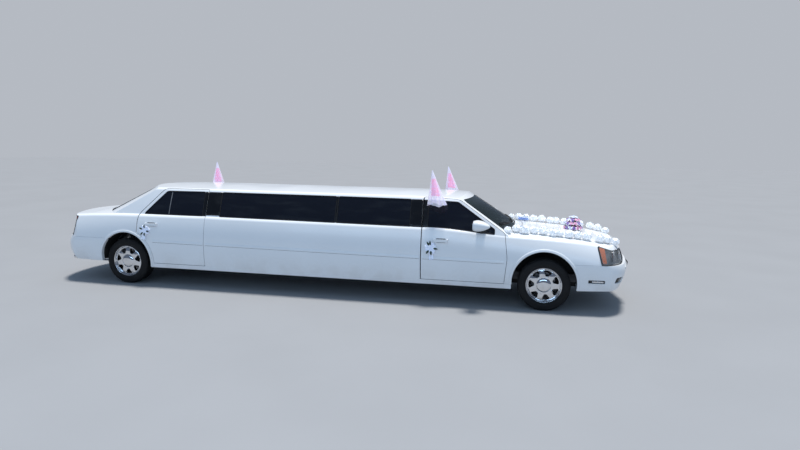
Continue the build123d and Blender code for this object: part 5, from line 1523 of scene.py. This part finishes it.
def fit_benches():
    """A rear bench, and a long bench on a veneered plinth down the left side."""
    for number in range(3):
        y = -0.405 + number * 0.405
        cushion(f"rear_bench_squab_{number}", (REAR_AXLE + 0.365, y, 0.590), (0.200, 0.198, 0.050), -4, 4,
                replaces=() if number else ("lounge_seats",))
        cushion(f"rear_bench_back_{number}", (REAR_AXLE + 0.112, y, 0.870), (0.235, 0.198, 0.048), 79, 4)
    frames = [((REAR_AXLE, -0.615, 0.514), (REAR_AXLE + 0.555, 0.615, 0.552), 0.012, 3),
              ((REAR_AXLE - 0.015, -0.615, 0.552), (REAR_AXLE + 0.055, 0.615, 1.05), 0.014, 3)]
    block_piece("rear_bench_frame", frames, "trim", "body")
    start, end, count = REAR_AXLE + 1.375, FRONT_AXLE - 1.735, 6
    pitch = (end - start) / count
    half = pitch / 2 - 0.004
    for number in range(count):
        x = start + pitch * (number + 0.5)
        cushion(f"side_bench_squab_{number}", (x, 0.478, 0.512), (half, 0.150, 0.046), 0, 5)
        cushion(f"side_bench_back_{number}", (x, 0.688, 0.755), (half, 0.185, 0.040), -79, 5, "X")
    block_piece("side_bench_frame", [((start, 0.345, 0.308), (end, 0.765, 0.462), 0.014, 3)], "wood",
                "body")


# Reach of each end's door cards
CARD_REACH = {"front": (FRONT_AXLE - 1.545, FRONT_AXLE - 0.56), "rear": (REAR_AXLE + 0.46, REAR_AXLE + 1.235)}
SPEAKER = [(0.0, 0.006), (0.060, 0.005), (0.066, 0.002), (0.068, -0.003), (0.0, -0.003)]


def fit_door_lining(end, hand, side):
    """A moulded card with an armrest and a speaker on the inside of one door."""
    body, node, reach = body_of_door(end, hand), f"door_{end}_{hand}", CARD_REACH[end]
    limits = (reach, reach_y(side, 0.70, 0.93), (0.37, 0.93))
    cut_piece(f"door_card_{end}_{hand}", node, limits, (0, -side, 0), 0.003, "trim", body, 0.5)
    middle = (reach[0] + reach[1]) / 2
    inner = Skin(node).seen((middle, 0, 0.70), (0, side, 0))
    if inner:
        y = inner[0].y
        near, far = sorted((y - side * 0.045, y + side * 0.004))
        block_piece(f"door_armrest_{end}_{hand}",
                    [((middle - 0.26, near, 0.655), (middle + 0.22, far, 0.700), 0.016, 3)], "dark_hide",
                    body)
        turned_piece(f"door_speaker_{end}_{hand}", SPEAKER, [(middle + 0.22, y, 0.49)], (0, -side, 0), 40,
                     "plastic", body)


def fit_cabin():
    fit_front_seats()
    fit_benches()
    cut_piece("cabin_carpet", "floor_pan",
              ((REAR_AXLE + 0.60, FRONT_AXLE - 0.62), (-0.775, 0.775), (0.29, 0.52)), (0, 0, 1), 0.003,
              "carpet", "body")
    cut_piece("cabin_headliner", "roof", ((REAR_AXLE, FRONT_AXLE - 1.1), (-0.66, 0.66), (1.30, 1.42)),
              (0, 0, -1), 0.004, "lining", "body", 0.4)
    fit_bar()
    fit_dashboard()
    for end, hand in CORNERS:
        fit_door_lining(end, hand, HANDS[hand])


BAR_HEIGHT = 0.801
FLUTE = [
    (0.0, 0.0), (0.030, 0.0), (0.031, 0.002), (0.006, 0.006), (0.0035, 0.02), (0.0035, 0.085), (0.012, 0.1),
    (0.023, 0.13), (0.026, 0.17), (0.024, 0.205), (0.0225, 0.205), (0.0245, 0.17), (0.021, 0.132),
    (0.0, 0.106),
]
ICE_BUCKET = [
    (0.0, 0.0), (0.062, 0.0), (0.066, 0.003), (0.083, 0.15), (0.088, 0.154), (0.088, 0.159),
    (0.080, 0.159), (0.078, 0.152), (0.061, 0.006), (0.0, 0.005),
]


def fit_bar():
    """A dark top with a rail, flutes and an ice bucket over veneered doors."""
    start, end = REAR_AXLE + 1.50, FRONT_AXLE - 1.76
    top = ((start + 0.01, -0.764, 0.7925), (end - 0.01, -0.49, BAR_HEIGHT), 0.003, 2)
    block_piece("bar_top", [top], "gloss", "body")
    bm = bmesh.new()
    tube(bm, [(start + 0.03, -0.486, 0.765), (end - 0.03, -0.486, 0.765)], 0.008)
    piece("bar_rail", bm, "chrome", "body")
    places = [(start + 0.35 + number * 0.10, -0.60 - 0.05 * (number % 2), BAR_HEIGHT) for number in range(6)]
    turned_piece("bar_flutes", FLUTE, places, (0, 0, 1), 24, "clear_lens", "body")
    turned_piece("bar_ice_bucket", ICE_BUCKET, [(start + 1.25, -0.62, BAR_HEIGHT)], (0, 0, 1), 40,
                 "chrome", "body")
    doors = []
    for number in range(5):
        x = start + 0.25 + number * 0.55
        doors.append(((x, -0.4905, 0.36), (x + 0.50, -0.4845, 0.74), 0.003, 2))
    block_piece("bar_doors", doors, "wood", "body")


DIAL = [(0.0, 0.002), (0.046, 0.002), (0.048, 0.005), (0.052, 0.005), (0.052, -0.004), (0.0, -0.004)]
HORN_PAD = [(0.0, 0.030), (0.04, 0.027), (0.062, 0.018), (0.068, 0.006), (0.066, -0.002), (0.0, -0.002)]


def fit_dashboard():
    """Instruments, vents and a veneered stack on the dashboard, with the mirror and the horn pad."""
    base = FRONT_AXLE - 0.560
    hood = ((base - 0.312, 0.18, 0.862), (base - 0.10, 0.56, 0.962), 0.024, 4)
    block_piece("instrument_hood", [hood], "plastic", "body")
    dials = [(base - 0.3135, y, 0.914) for y in (0.30, 0.44)]
    turned_piece("instrument_dials", DIAL, dials, (-1, 0, 0.1), 32, "gloss", "body")
    stack = ((base - 0.301, -0.14, 0.755), (base - 0.272, 0.14, 0.925), 0.010, 3)
    block_piece("centre_stack", [stack], "wood", "body")
    vents = [((base - 0.318, y - 0.05, 0.868 + step * 0.012),
              (base - 0.285, y + 0.05, 0.874 + step * 0.012), 0.002)
             for y in (-0.62, -0.22, 0.64) for step in range(4)]
    block_piece("dashboard_vents", vents, "gloss", "body")
    bm = bmesh.new()
    centre = Vector((FRONT_AXLE - 0.985, 0.0, 1.285))
    soft_block(bm, centre, (0.012, 0.115, 0.030), 3.4, 12, 32)
    tube(bm, [centre + Vector((0.008, 0, 0.01)), centre + Vector((0.055, 0, 0.035))], 0.006)
    tidy(bm)
    piece("inside_mirror", bm, "plastic", "body")
    hub = Vector((FRONT_AXLE - 1.010, 0.370, 0.905))
    lean = math.radians(24)
    turned_piece("steering_wheel_pad", HORN_PAD, [hub], (-math.cos(lean), 0, math.sin(lean)), 40,
                 "plastic", "steering_wheel")


# Each wiper: y where its blade starts and ends, and y of its pivot
WIPERS = [(0.10, 0.60, 0.02), (-0.56, -0.06, -0.62)]
WIPER_BLADE = [(-0.004, 0.0), (-0.004, 0.008), (-0.0015, 0.013), (0.0015, 0.013), (0.004, 0.008),
               (0.004, 0.0)]
WIPER_CAP = [(0.0, 0.018), (0.012, 0.016), (0.014, 0.0), (0.0, 0.0)]
SCREEN_SWEEP = 0.30


def fit_screen_fittings():
    """Wipers parked on the windscreen."""
    skin = Skin("windscreen")
    bm = bmesh.new()
    for start, end, pivot in WIPERS:
        blade = []
        for number in range(21):
            y = start + (end - start) * number / 20
            hit = skin.above(FRONT_AXLE - 0.462 - SCREEN_SWEEP * y * y, y)
            if hit:
                blade.append((hit[0] + hit[1] * 0.002, hit[1]))
        if len(blade) > 4:
            sweep(bm, blade, WIPER_BLADE)
            middle = blade[len(blade) // 2]
            foot = skin.above(FRONT_AXLE - 0.448 - SCREEN_SWEEP * pivot * pivot, pivot)[0]
            tube(bm, [foot, foot + Vector((-0.03, 0, 0.03)), middle[0] + middle[1] * 0.014], 0.0055)
            lathe(bm, WIPER_CAP, foot, (0.2, 0, 1), 20)
    tidy(bm)
    piece("windscreen_wipers", bm, "plastic", "body")


# Wedding dressing

def cloth(made, held, rests_on, shape, fill=0.72):
    """Works out the width of the sheet that a piece of cloth was cut from, and keeps nothing of it."""
    area = sum(polygon.area for polygon in made.data.polygons)
    width = math.sqrt(area / fill / shape)
    width * shape


GLASS_HEAD = 1.425


def hung_cone(name, tip, foot, radius, look, folds, body, node, side, seed, hem, start=0.0):
    """A cone of net gathered at its tip, its folds opening to a wavy hem that lies on the glass."""
    skin = Skin("roof", node, node.replace("door", "glass"))
    chance = random.Random(seed)
    phases = [chance.uniform(0, math.tau) for _ in range(4)]
    rows, turns = 30, 84
    bm = bmesh.new()
    grid = []
    for row in range(rows + 1):
        share = start + (1 - start) * row / rows
        middle = Vector(tip).lerp(Vector(foot), share)
        line = []
        for step in range(turns):
            angle = math.tau * step / turns
            wave = math.sin(folds * angle + phases[0])
            wave += 0.55 * math.sin((folds * 2 + 1) * angle + phases[1] + share)
            wide = 0.006 + radius * share ** 1.05 * (1 + 0.085 * wave * share)
            sway = 1.2 + math.sin(3 * angle + phases[2]) + 0.4 * math.sin(7 * angle + phases[3])
            drop = hem * share ** 6 * sway
            spot = middle + Vector((wide * math.cos(angle), side * wide * 0.86 * math.sin(angle), -drop))
            if spot.z < GLASS_HEAD:
                hit = skin.beside(spot.x, spot.z, side)
                least = abs(hit[0].y) + 0.004 if hit else 0.0
                if side * spot.y < least:
                    spot.y = side * least
            line.append(bm.verts.new(spot))
        grid.append(line)
    wrap_rings(bm, grid)
    bm.normal_update()
    if sum(face.normal.dot(face.calc_center_median() - Vector(foot)) for face in bm.faces) < 0:
        bmesh.ops.reverse_faces(bm, faces=bm.faces[:])
    cloth(tulle_piece(name, bm, look, body), "gathered", [node], 1.2, 0.6)


def wrap_rings(bm, rings):
    """A skin of faces over rings of as many points."""
    for first, second in zip(rings, rings[1:]):
        for step in range(len(first)):
            after = (step + 1) % len(first)
            bm.faces.new((first[step], second[step], second[after], first[after]))


def tulle_piece(name, bm, look, body, replaces=()):
    """A piece of the dressing, shaded smoothly over its folds."""
    return piece(name, bm, look, body, replaces, 80)


def ribbon(bm, points, width, across, twist=0.0):
    """A flat ribbon along points, its width lying along across and turning by twist."""
    points = [Vector(point) for point in points]
    rows = []
    for number, point in enumerate(points):
        along = (points[min(number + 1, len(points) - 1)] - points[max(number - 1, 0)]).normalized()
        wide = Vector(across) - along * along.dot(Vector(across))
        wide.normalize()
        wide.rotate(Matrix.Rotation(twist * number / len(points), 3, along))
        arch = along.cross(wide)
        rows.append([bm.verts.new(point + wide * (width * place)
                                  + arch * (0.1 * width * (1 - 4 * place * place)))
                     for place in (-0.5, -0.25, 0.0, 0.25, 0.5)])
    join_rows(bm, rows)


def bow_loop(bm, centre, direction, out, length, width, height):
    """One loop of a bow: it leaves the knot, swells and comes back."""
    points = []
    for number in range(17):
        turn = math.pi * number / 16
        reach = length * math.sin(turn) ** 0.75
        lift = height * math.cos(turn) * math.sin(turn) ** 0.5
        points.append(Vector(centre) + direction * reach + out * (lift + 0.010))
    ribbon(bm, points, width, direction.cross(out))


def leaf_shape(bm, root, direction, normal, length, width):
    across = direction.cross(normal).normalized()
    rows = []
    for number in range(9):
        share = number / 8
        half = width * 0.5 * math.sin(math.pi * share ** 0.8) ** 0.9 + 0.0004
        rise = 0.22 * length * math.sin(math.pi * share) * 0.6
        spine = root + direction * (length * share) + normal * rise
        rows.append([bm.verts.new(spine + across * half * place + normal * (0.18 * half * abs(place)))
                     for place in (-1.0, -0.5, 0.0, 0.5, 1.0)])
    join_rows(bm, rows)


def tie_bow(name, centre, out, body, node, size, looks, seed, tails=True, replaces=()):
    """A ribbon bow with tails and a few dark leaves, tied on a handle or a panel's edge."""
    chance = random.Random(seed)
    out = Vector(out).normalized()
    level = Vector((0, 0, 1)).cross(out).normalized() if abs(out.z) < 0.8 else Vector((1, 0, 0))
    rise = out.cross(level).normalized()
    bm = bmesh.new()
    for number in range(8):
        angle = math.radians(20 + number * 45 + chance.uniform(-9, 9))
        direction = (level * math.cos(angle) + rise * math.sin(angle)).normalized()
        scale = chance.uniform(0.8, 1.1)
        bow_loop(bm, centre, direction, out, 0.062 * size * scale, 0.034 * size, 0.018 * size)
    knot = [Vector(centre) + out * (0.012 + 0.008 * math.sin(turn * math.tau / 12))
            + rise * 0.010 * math.cos(turn * math.tau / 12) for turn in range(13)]
    ribbon(bm, knot, 0.016 * size, level)
    cloth(tulle_piece(name, bm, looks[0], body, replaces), "gathered", [node], 3.0)
    if tails:
        bm = bmesh.new()
        for number in range(3):
            lean = chance.uniform(-0.5, 0.25)
            points = [Vector(centre) + out * (0.010 + 0.006 * math.sin(step * 0.9 + number))
                      + (-rise + level * lean).normalized() * (0.0135 * size * step) for step in range(9)]
            ribbon(bm, points, 0.020 * size, level, 0.9 * (number - 1))
        cloth(tulle_piece(f"{name}_tails", bm, looks[1], body), "hung", [node], 4.0)
    bm = bmesh.new()
    for number in range(5):
        angle = math.radians(number * 72 + chance.uniform(-25, 25))
        direction = (level * math.cos(angle) + rise * math.sin(angle) + out * 0.12).normalized()
        root = Vector(centre) + out * 0.020 + direction * 0.026 * size
        leaf_shape(bm, root, direction, out, 0.044 * size, 0.019 * size)
    thicken(tulle_piece(f"{name}_leaves", bm, "leaf", body), 0.0008)


FRONT_CONE = ((FRONT_AXLE - 1.473, 0.790, 1.752), (FRONT_AXLE - 1.398, 0.832, 1.318))
REAR_CONE = ((REAR_AXLE + 0.557, 0.790, 1.752), (REAR_AXLE + 0.551, 0.832, 1.318))


# Handles of each end's doors: x, z and the size of the bow
HANDLE_BOWS = {"front": (FRONT_AXLE - 1.450, 0.752, 1.4), "rear": (REAR_AXLE + 0.345, 0.806, 1.25)}
PINK_CONE_FOOT = 0.26


def dress_doors():
    """Cones of net over three doors, and bows on the handles and the mirrors' feet."""
    for end, hand, (tip, foot) in (("front", "right", FRONT_CONE), ("front", "left", FRONT_CONE),
                                   ("rear", "left", REAR_CONE)):
        side = HANDS[hand]
        place = (body_of_door(end, hand), f"door_{end}_{hand}", side)
        tip, foot = (tip[0], side * tip[1], tip[2]), (foot[0], side * foot[1], foot[2])
        seed = 11 + len(end) + 5 * side
        inner = Vector(foot).lerp(Vector(tip), PINK_CONE_FOOT)
        hung_cone(f"pink_cone_{end}_{hand}", tip, inner, 0.048, "pink", 4, *place, seed, 0.006, 0.34)
        hung_cone(f"veil_cone_{end}_{hand}", tip, foot, 0.118, "veil", 5, *place, seed + 3, 0.012)
    for end, hand in CORNERS:
        side, node = HANDS[hand], f"door_{end}_{hand}"
        x, z, size = HANDLE_BOWS[end]
        place, normal = Skin(node).beside(x, z, side)
        tie_bow(f"handle_bow_{end}_{hand}", place + normal * 0.004, (0, side, 0.1),
                body_of_door(end, hand), node, size, ("satin", "satin"), 3 + len(end) + side,
                replaces=(f"dressing_{end}_{hand}",))
    for hand, side in HANDS.items():
        knot = Vector((FRONT_AXLE - 0.790, side * 0.912, 1.058))
        tie_bow(f"mirror_bow_{hand}", knot, (0.2, 0.1 * side, 1.0), body_of_door("front", hand),
                f"mirror_foot_{hand}", 0.7, ("lilac", "satin"), 21 + side, tails=False)


def ruffle(bm, centre, normal, radius, waves, phase, cup):
    """A gathered disc of net: flat in the middle and frilled at its rim."""
    normal = normal.normalized()
    across = normal.orthogonal().normalized()
    other = normal.cross(across)
    rings, turns = 5, 24
    rows = []
    for ring in range(1, rings + 1):
        share = ring / rings
        row = []
        for step in range(turns):
            angle = math.tau * step / turns
            frill = 0.22 * radius * share ** 2 * math.sin(waves * angle + phase)
            lift = cup * radius * share ** 1.6 + frill
            reach = radius * share * (1 + 0.08 * math.sin(3 * angle + phase))
            row.append(bm.verts.new(centre + (across * math.cos(angle) + other * math.sin(angle)) * reach
                                    + normal * lift))
        rows.append(row)
    heart = bm.verts.new(centre)
    for step in range(turns):
        after = (step + 1) % turns
        bm.faces.new((heart, rows[0][step], rows[0][after]))
    wrap_rings(bm, rows)


def puff_ball(bm, radius):
    """A ball of gathered net standing on the origin: a ridged heart inside loose frills."""
    heart = Vector((0, 0, radius * 0.86))
    rows, turns = 14, 36
    grid = []
    for row in range(1, rows):
        fall = math.pi * row / rows
        line = []
        for step in range(turns):
            turn = math.tau * step / turns
            ridge = 0.07 * math.sin(9 * turn + 3.0 * math.cos(2 * fall)) * math.sin(fall)
            ridge += 0.05 * math.sin(7 * fall + 2 * turn)
            way = Vector((math.sin(fall) * math.cos(turn), math.sin(fall) * math.sin(turn),
                          0.9 * math.cos(fall)))
            line.append(bm.verts.new(heart + way * radius * (0.92 + ridge)))
        grid.append(line)
    ends = [bm.verts.new(heart + Vector((0, 0, way * radius * 0.84))) for way in (1, -1)]
    for step in range(turns):
        after = (step + 1) % turns
        bm.faces.new((ends[0], grid[0][step], grid[0][after]))
        bm.faces.new((ends[1], grid[-1][after], grid[-1][step]))
        for first, second in zip(grid, grid[1:]):
            bm.faces.new((first[step], second[step], second[after], first[after]))
    for number in range(7):
        height = 0.95 - 0.22 * number
        turn, flat = number * 2.4, math.sqrt(1 - height * height)
        way = Vector((flat * math.cos(turn), flat * math.sin(turn), height))
        ruffle(bm, heart + way * radius * 0.82, way, radius * 0.5, 5 + number % 3, number * 1.3, 0.1)


def flower(bm, centre, normal, radius, chance):
    """A small rose: rings of cupped petals round a closed heart."""
    normal = normal.normalized()
    across = normal.orthogonal().normalized()
    other = normal.cross(across)
    for ring, (count, reach, cup) in enumerate(((3, 0.35, 1.1), (5, 0.65, 0.75), (7, 1.0, 0.35))):
        for number in range(count):
            turn = math.tau * number / count + ring * 0.6 + chance.uniform(-0.1, 0.1)
            way = across * math.cos(turn) + other * math.sin(turn)
            direction = (way + normal * cup).normalized()
            root = centre + normal * (0.10 * radius * (3 - ring)) + way * 0.06 * radius
            leaf_shape(bm, root, direction, (normal - way * cup).normalized(), radius * reach, radius * 0.75)


def lay_puffs(skin, hand, side, settings):
    """A row of net puffs along one edge of the hood, turned and sized by chance."""
    bm = bmesh.new()
    puff_ball(bm, 0.058)
    bm.normal_update()
    puff = plain_piece(f"puff_pattern_{hand}", bm, "puff")
    bm = bmesh.new()
    for number in range(settings.puffs_per_side):
        share = number / (settings.puffs_per_side - 1)
        x = FRONT_AXLE - 0.372 + share * 1.250
        y = side * (0.676 - 0.050 * share - 0.10 * max(share - 0.82, 0) / 0.18)
        bm.verts.new(skin.above(x, y)[0] + Vector((0, 0, 0.001)))
    line = plain_piece(f"hood_puffs_{hand}", bm, "puff")
    repeat(line, "scatter", piece=puff, least_size=0.92, most_size=1.08, seed=settings.seed,
           finish=finish("puff"))
    bpy.data.objects.remove(puff)
    seat(line, "hood", ("hood_garland",) if side > 0 else ())
    cloth(line, "gathered", ["hood"], 8.0)


def lay_rosette(skin, hand, side):
    """Three gathered blue discs at the hood's rear corner, and one puff on the fender beside them."""
    bm = bmesh.new()
    for number in range(3):
        spot = skin.above(FRONT_AXLE - 0.330 + 0.035 * number, side * (0.535 - 0.022 * number))[0]
        for direction, waves in (((0.3, 0, 1), 7), ((-0.4, 0.2, 1), 6), ((0, side * 0.5, 1), 8)):
            ruffle(bm, spot + Vector((0, 0, 0.016)), Vector(direction), 0.040, waves, number, 0.55)
    cloth(tulle_piece(f"cowl_rosette_{hand}", bm, "blue_satin", "hood"), "gathered", ["hood"], 2.0)
    bm = bmesh.new()
    spot = skin.above(FRONT_AXLE - 0.478, side * 0.768)[0]
    puff_ball(bm, 0.050)
    bmesh.ops.translate(bm, verts=bm.verts, vec=spot + Vector((0, 0, 0.001)))
    cloth(tulle_piece(f"fender_puff_{hand}", bm, "puff", "body"), "gathered", ["front_fenders"], 2.0)


# The bouquet's rings: flowers in the ring, and how far it leans from upright
BOUQUET_RINGS = [(1, 0.0), (6, 0.38), (10, 0.72), (13, 1.05), (15, 1.4)]
BOUQUET_LOOKS = ("rose", "violet", "satin", "violet", "rose")
SATIN_LEAN = 0.5


def set_bouquet(skin, chance):
    """A dome of small flowers with leaves between them, in the middle of the hood."""
    centre = skin.above(FRONT_AXLE + 0.385, 0.0)[0]
    bunches = {look: bmesh.new() for look in ("rose", "violet", "satin")}
    leaves = bmesh.new()
    number = 0
    for count, lean in BOUQUET_RINGS:
        for step in range(count):
            turn = math.tau * step / count + lean
            outward = Vector((math.sin(lean) * math.cos(turn), math.sin(lean) * math.sin(turn),
                              math.cos(lean)))
            spot = centre + Vector((outward.x * 0.115, outward.y * 0.110, 0.002 + 0.178 * outward.z))
            look = "satin" if lean < SATIN_LEAN else BOUQUET_LOOKS[number % 5]
            flower(bunches[look], spot, outward, 0.027, chance)
            way = outward.orthogonal().normalized()
            way.rotate(Matrix.Rotation(chance.uniform(0, math.tau), 3, outward))
            leaf_shape(leaves, spot - outward * 0.010, way, outward, 0.046, 0.022)
            number += 1
    for look, bm in bunches.items():
        thicken(tulle_piece(f"bouquet_{look}_flowers", bm, look, "hood"), 0.0006)
    thicken(tulle_piece("bouquet_leaves", leaves, "leaf", "hood"), 0.0006)


def dress_hood(settings):
    skin = Skin("hood", "front_fenders", "cowl")
    for hand, side in HANDS.items():
        lay_puffs(skin, hand, side, settings)
        lay_rosette(skin, hand, side)
    set_bouquet(skin, random.Random(settings.seed))


# Stage

FLOOR_REACH = 60.0
SKY_SEEN = (0.463, 0.492, 0.541, 1.0)
SKY_LIGHT = (0.50, 0.71, 1.0, 1.0)
SKY_MIRRORED = (0.55, 0.7, 1.0, 1.0)
SKY_MIRRORED_SHARE = 0.3
SUN_COLOUR = (1.0, 0.97, 0.93)
BOX_COLOUR = (0.48, 0.71, 1.0)
# The photo's camera, as fitted to the car: focal length and sensor in mm, place, and turns in degrees
LENS_LENGTH = 27.0
SENSOR_WIDTH = 36.0
CAMERA_PLACE = (2.839, -8.557, 2.068)
CAMERA_YAW, CAMERA_PITCH, CAMERA_ROLL = -12.079, 7.544, 0.728


def lay_floor(colour):
    ground = Finish("studio_floor", colour, 0.7)
    cloud = ground.noise(0.6, 4.0).between(0.3, 0.7)
    ground.set("Base Color", ground.vary(cloud, 0.04))
    ground.bump(ground.noise(30.0, 3.0), 0.05, 0.002)
    mesh = bpy.data.meshes.new("studio_floor")
    corners = rectangle(-FLOOR_REACH, -FLOOR_REACH, FLOOR_REACH, FLOOR_REACH)
    mesh.from_pydata([(x, y, 0) for x, y in corners], [], [(0, 1, 2, 3)])
    mesh.materials.append(ground.material)
    floor = bpy.data.objects.new("studio_floor", mesh)
    bpy.context.scene.collection.objects.link(floor)


def light_sky(strength):
    """A sky of one colour to the camera, another on the car and a dimmer one in its mirrors."""
    world = bpy.data.worlds.new("studio_sky")
    world.use_nodes = True
    graph = Graph(world.node_tree)
    world.node_tree.nodes.clear()
    seen, light, dusk = (
        graph.node("ShaderNodeBackground", {}, {"Color": colour, "Strength": power})
        for colour, power in ((SKY_SEEN, 1.0), (SKY_LIGHT, strength),
                              (SKY_MIRRORED, strength * SKY_MIRRORED_SHARE)))
    direct = graph.node("ShaderNodeLightPath", {}, (), "Is Camera Ray")
    gloss = graph.node("ShaderNodeLightPath", {}, (), "Is Glossy Ray")
    light = graph.node("ShaderNodeMixShader", {}, {0: gloss, 1: light, 2: dusk})
    both = graph.node("ShaderNodeMixShader", {}, {0: direct, 1: light, 2: seen})
    leave = world.node_tree.nodes.new("ShaderNodeOutputWorld")
    world.node_tree.links.new(both.socket, leave.inputs["Surface"])
    bpy.context.scene.world = world


def hang_lights(settings):
    sun = bpy.data.lights.new("soft_sun", "SUN")
    sun.energy, sun.color, sun.angle = settings.sun_light, SUN_COLOUR, math.radians(10)
    box = bpy.data.lights.new("flank_light", "AREA")
    box.shape, box.size, box.size_y = "RECTANGLE", 16.0, 3.0
    box.energy, box.color = settings.box_light, BOX_COLOUR
    for lamp, place, aim in ((sun, (0.6, 1.5, 9.0), (0, 0, 0)), (box, (1.0, -16.0, 6.5), (0.0, 0, 0.8))):
        holder = bpy.data.objects.new(lamp.name, lamp)
        holder.location = place
        holder.rotation_euler = (Vector(aim) - Vector(place)).to_track_quat("-Z", "Y").to_euler()
        bpy.context.scene.collection.objects.link(holder)


def set_camera():
    scene = bpy.context.scene
    scene.view_settings.view_transform = "Standard"
    made = bpy.data.cameras.new("photo_camera")
    made.lens, made.sensor_width, made.clip_end = LENS_LENGTH, SENSOR_WIDTH, 200.0
    camera = bpy.data.objects.new("photo_camera", made)
    yaw, pitch, roll = (math.radians(value) for value in (CAMERA_YAW, CAMERA_PITCH, CAMERA_ROLL))
    forward = Vector((math.sin(yaw) * math.cos(pitch), math.cos(yaw) * math.cos(pitch), -math.sin(pitch)))
    right = Vector((math.cos(yaw), -math.sin(yaw), 0))
    up = right.cross(forward)
    across = right * math.cos(roll) + up * math.sin(roll)
    rise = up * math.cos(roll) - right * math.sin(roll)
    turn = Matrix((across, rise, -forward)).transposed().to_4x4()
    camera.matrix_world = Matrix.Translation(CAMERA_PLACE) @ turn
    scene.collection.objects.link(camera)
    scene.camera = camera


# Settings and operators

class LimousineLooks(bpy.types.PropertyGroup):
    """The finish of the whole car and its dressing."""
    paint_colour: FloatVectorProperty(
        name="Paint", description="Colour of the body enamel", subtype="COLOR",
        default=(0.78, 0.79, 0.80), min=0, max=1)
    glass_colour: FloatVectorProperty(
        name="Side glass", description="Tint of the side windows", subtype="COLOR",
        default=(0.006, 0.008, 0.014), min=0, max=1)
    spokes: IntProperty(name="Spokes", description="Broad spokes in each wheel", default=7, min=5, max=9)
    shoulder_lugs: IntProperty(
        name="Shoulder lugs", description="Tread blocks round each tyre shoulder", default=72, min=36, max=96)
    puffs_per_side: IntProperty(
        name="Hood puffs", description="Net puffs along each edge of the hood", default=12, min=6, max=14)
    seed: IntProperty(
        name="Seed", description="Seed for the turning and sizing of the dressing", default=5, min=0)
    sun_light: FloatProperty(
        name="Sun", description="Strength of the wide, soft sun", default=4.4, min=0.0)
    box_light: FloatProperty(
        name="Soft box", description="Power of the long light beside the car", default=410.0, min=0.0,
        unit="POWER")
    sky_light: FloatProperty(name="Sky", description="Strength of the sky", default=0.65, min=0.0)
    floor_colour: FloatVectorProperty(
        name="Floor", description="Colour of the studio floor", subtype="COLOR",
        default=(0.27, 0.275, 0.285), min=0, max=1)


class LooksOperator(bpy.types.Operator):
    bl_options = {"REGISTER", "UNDO"}

    def execute(self, context):
        self.build(context.scene.limousine_looks)
        return {"FINISHED"}


class LIMOUSINE_OT_mix(LooksOperator):
    """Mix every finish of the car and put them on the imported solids"""
    bl_idname = "limousine.mix_finishes"
    bl_label = "Mix finishes"

    def build(self, looks):
        mix_finishes(tuple(looks.paint_colour), tuple(looks.glass_colour))
        paint_nodes()


class LIMOUSINE_OT_seals(LooksOperator):
    """Fit window seals, dark pillar panels and wipers"""
    bl_idname = "limousine.fit_seals"
    bl_label = "Fit window trim"

    def build(self, looks):
        fit_seals()
        fit_pillar_panels()
        fit_screen_fittings()


class LIMOUSINE_OT_flanks(LooksOperator):
    """Fit rub strips, arch lips, dark panels of painted shade inboard of the front wheels, painted shade in
    the handle cups, and mirrors
    """
    bl_idname = "limousine.fit_flanks"
    bl_label = "Fit flank trim"

    def build(self, looks):
        for hand, side in HANDS.items():
            fit_rub_strips(hand, side)
            fit_arch_lips(hand, side)
        fit_wheel_well_shade_panels()
        fit_handle_cup_shades()
        fit_mirrors()


class LIMOUSINE_OT_ends(LooksOperator):
    """Fit lamps, grille, plates and bumper fittings"""
    bl_idname = "limousine.fit_ends"
    bl_label = "Fit lamps and grille"

    def build(self, looks):
        fit_lamps()
        fit_grille()
        fit_bumper_fittings()


class LIMOUSINE_OT_wheels(LooksOperator):
    """Fit polished wheels, tyres and brakes"""
    bl_idname = "limousine.fit_wheels"
    bl_label = "Fit wheels"

    def build(self, looks):
        fit_wheels(looks)


class LIMOUSINE_OT_cabin(LooksOperator):
    """Fit seats, carpet, headliner, bar, door cards and dashboard"""
    bl_idname = "limousine.fit_cabin"
    bl_label = "Fit cabin"

    def build(self, looks):
        fit_cabin()


class LIMOUSINE_OT_dressing(LooksOperator):
    """Hang the tulle, tie the bows and lay the puffs and the bouquet"""
    bl_idname = "limousine.dress"
    bl_label = "Dress for the wedding"

    def build(self, looks):
        dress_doors()
        dress_hood(looks)


class LIMOUSINE_OT_stage(LooksOperator):
    """Set the floor, the sky, the lights and the camera"""
    bl_idname = "limousine.set_stage"
    bl_label = "Set stage"

    def build(self, looks):
        lay_floor(looks.floor_colour)
        light_sky(looks.sky_light)
        hang_lights(looks)
        set_camera()


STEPS = (LIMOUSINE_OT_mix, LIMOUSINE_OT_seals, LIMOUSINE_OT_flanks, LIMOUSINE_OT_ends, LIMOUSINE_OT_wheels,
         LIMOUSINE_OT_cabin, LIMOUSINE_OT_dressing, LIMOUSINE_OT_stage)


class LIMOUSINE_PT_looks(bpy.types.Panel):
    """Settings and steps of the limousine's looks"""
    bl_label = "Limousine"
    bl_space_type = "VIEW_3D"
    bl_region_type = "UI"
    bl_category = "Limousine"

    def draw(self, context):
        looks = context.scene.limousine_looks
        column = self.layout.column()
        for name in ("paint_colour", "glass_colour", "spokes", "shoulder_lugs", "puffs_per_side", "seed",
                     "sun_light", "box_light", "sky_light", "floor_colour"):
            column.prop(looks, name)
        for step in STEPS:
            column.operator(step.bl_idname)


CLASSES = (LimousineLooks, *STEPS, LIMOUSINE_PT_looks)


def register():
    for kind in CLASSES:
        bpy.utils.register_class(kind)
    bpy.types.Scene.limousine_looks = PointerProperty(type=LimousineLooks)


def unregister():
    del bpy.types.Scene.limousine_looks
    for kind in reversed(CLASSES):
        bpy.utils.unregister_class(kind)


def main():
    register()
    for step in STEPS:
        module, name = step.bl_idname.split(".")
        if getattr(getattr(bpy.ops, module), name)() != {"FINISHED"}:
            raise RuntimeError(f"{step.bl_label} did not finish")


if __name__ == "__main__":
    main()
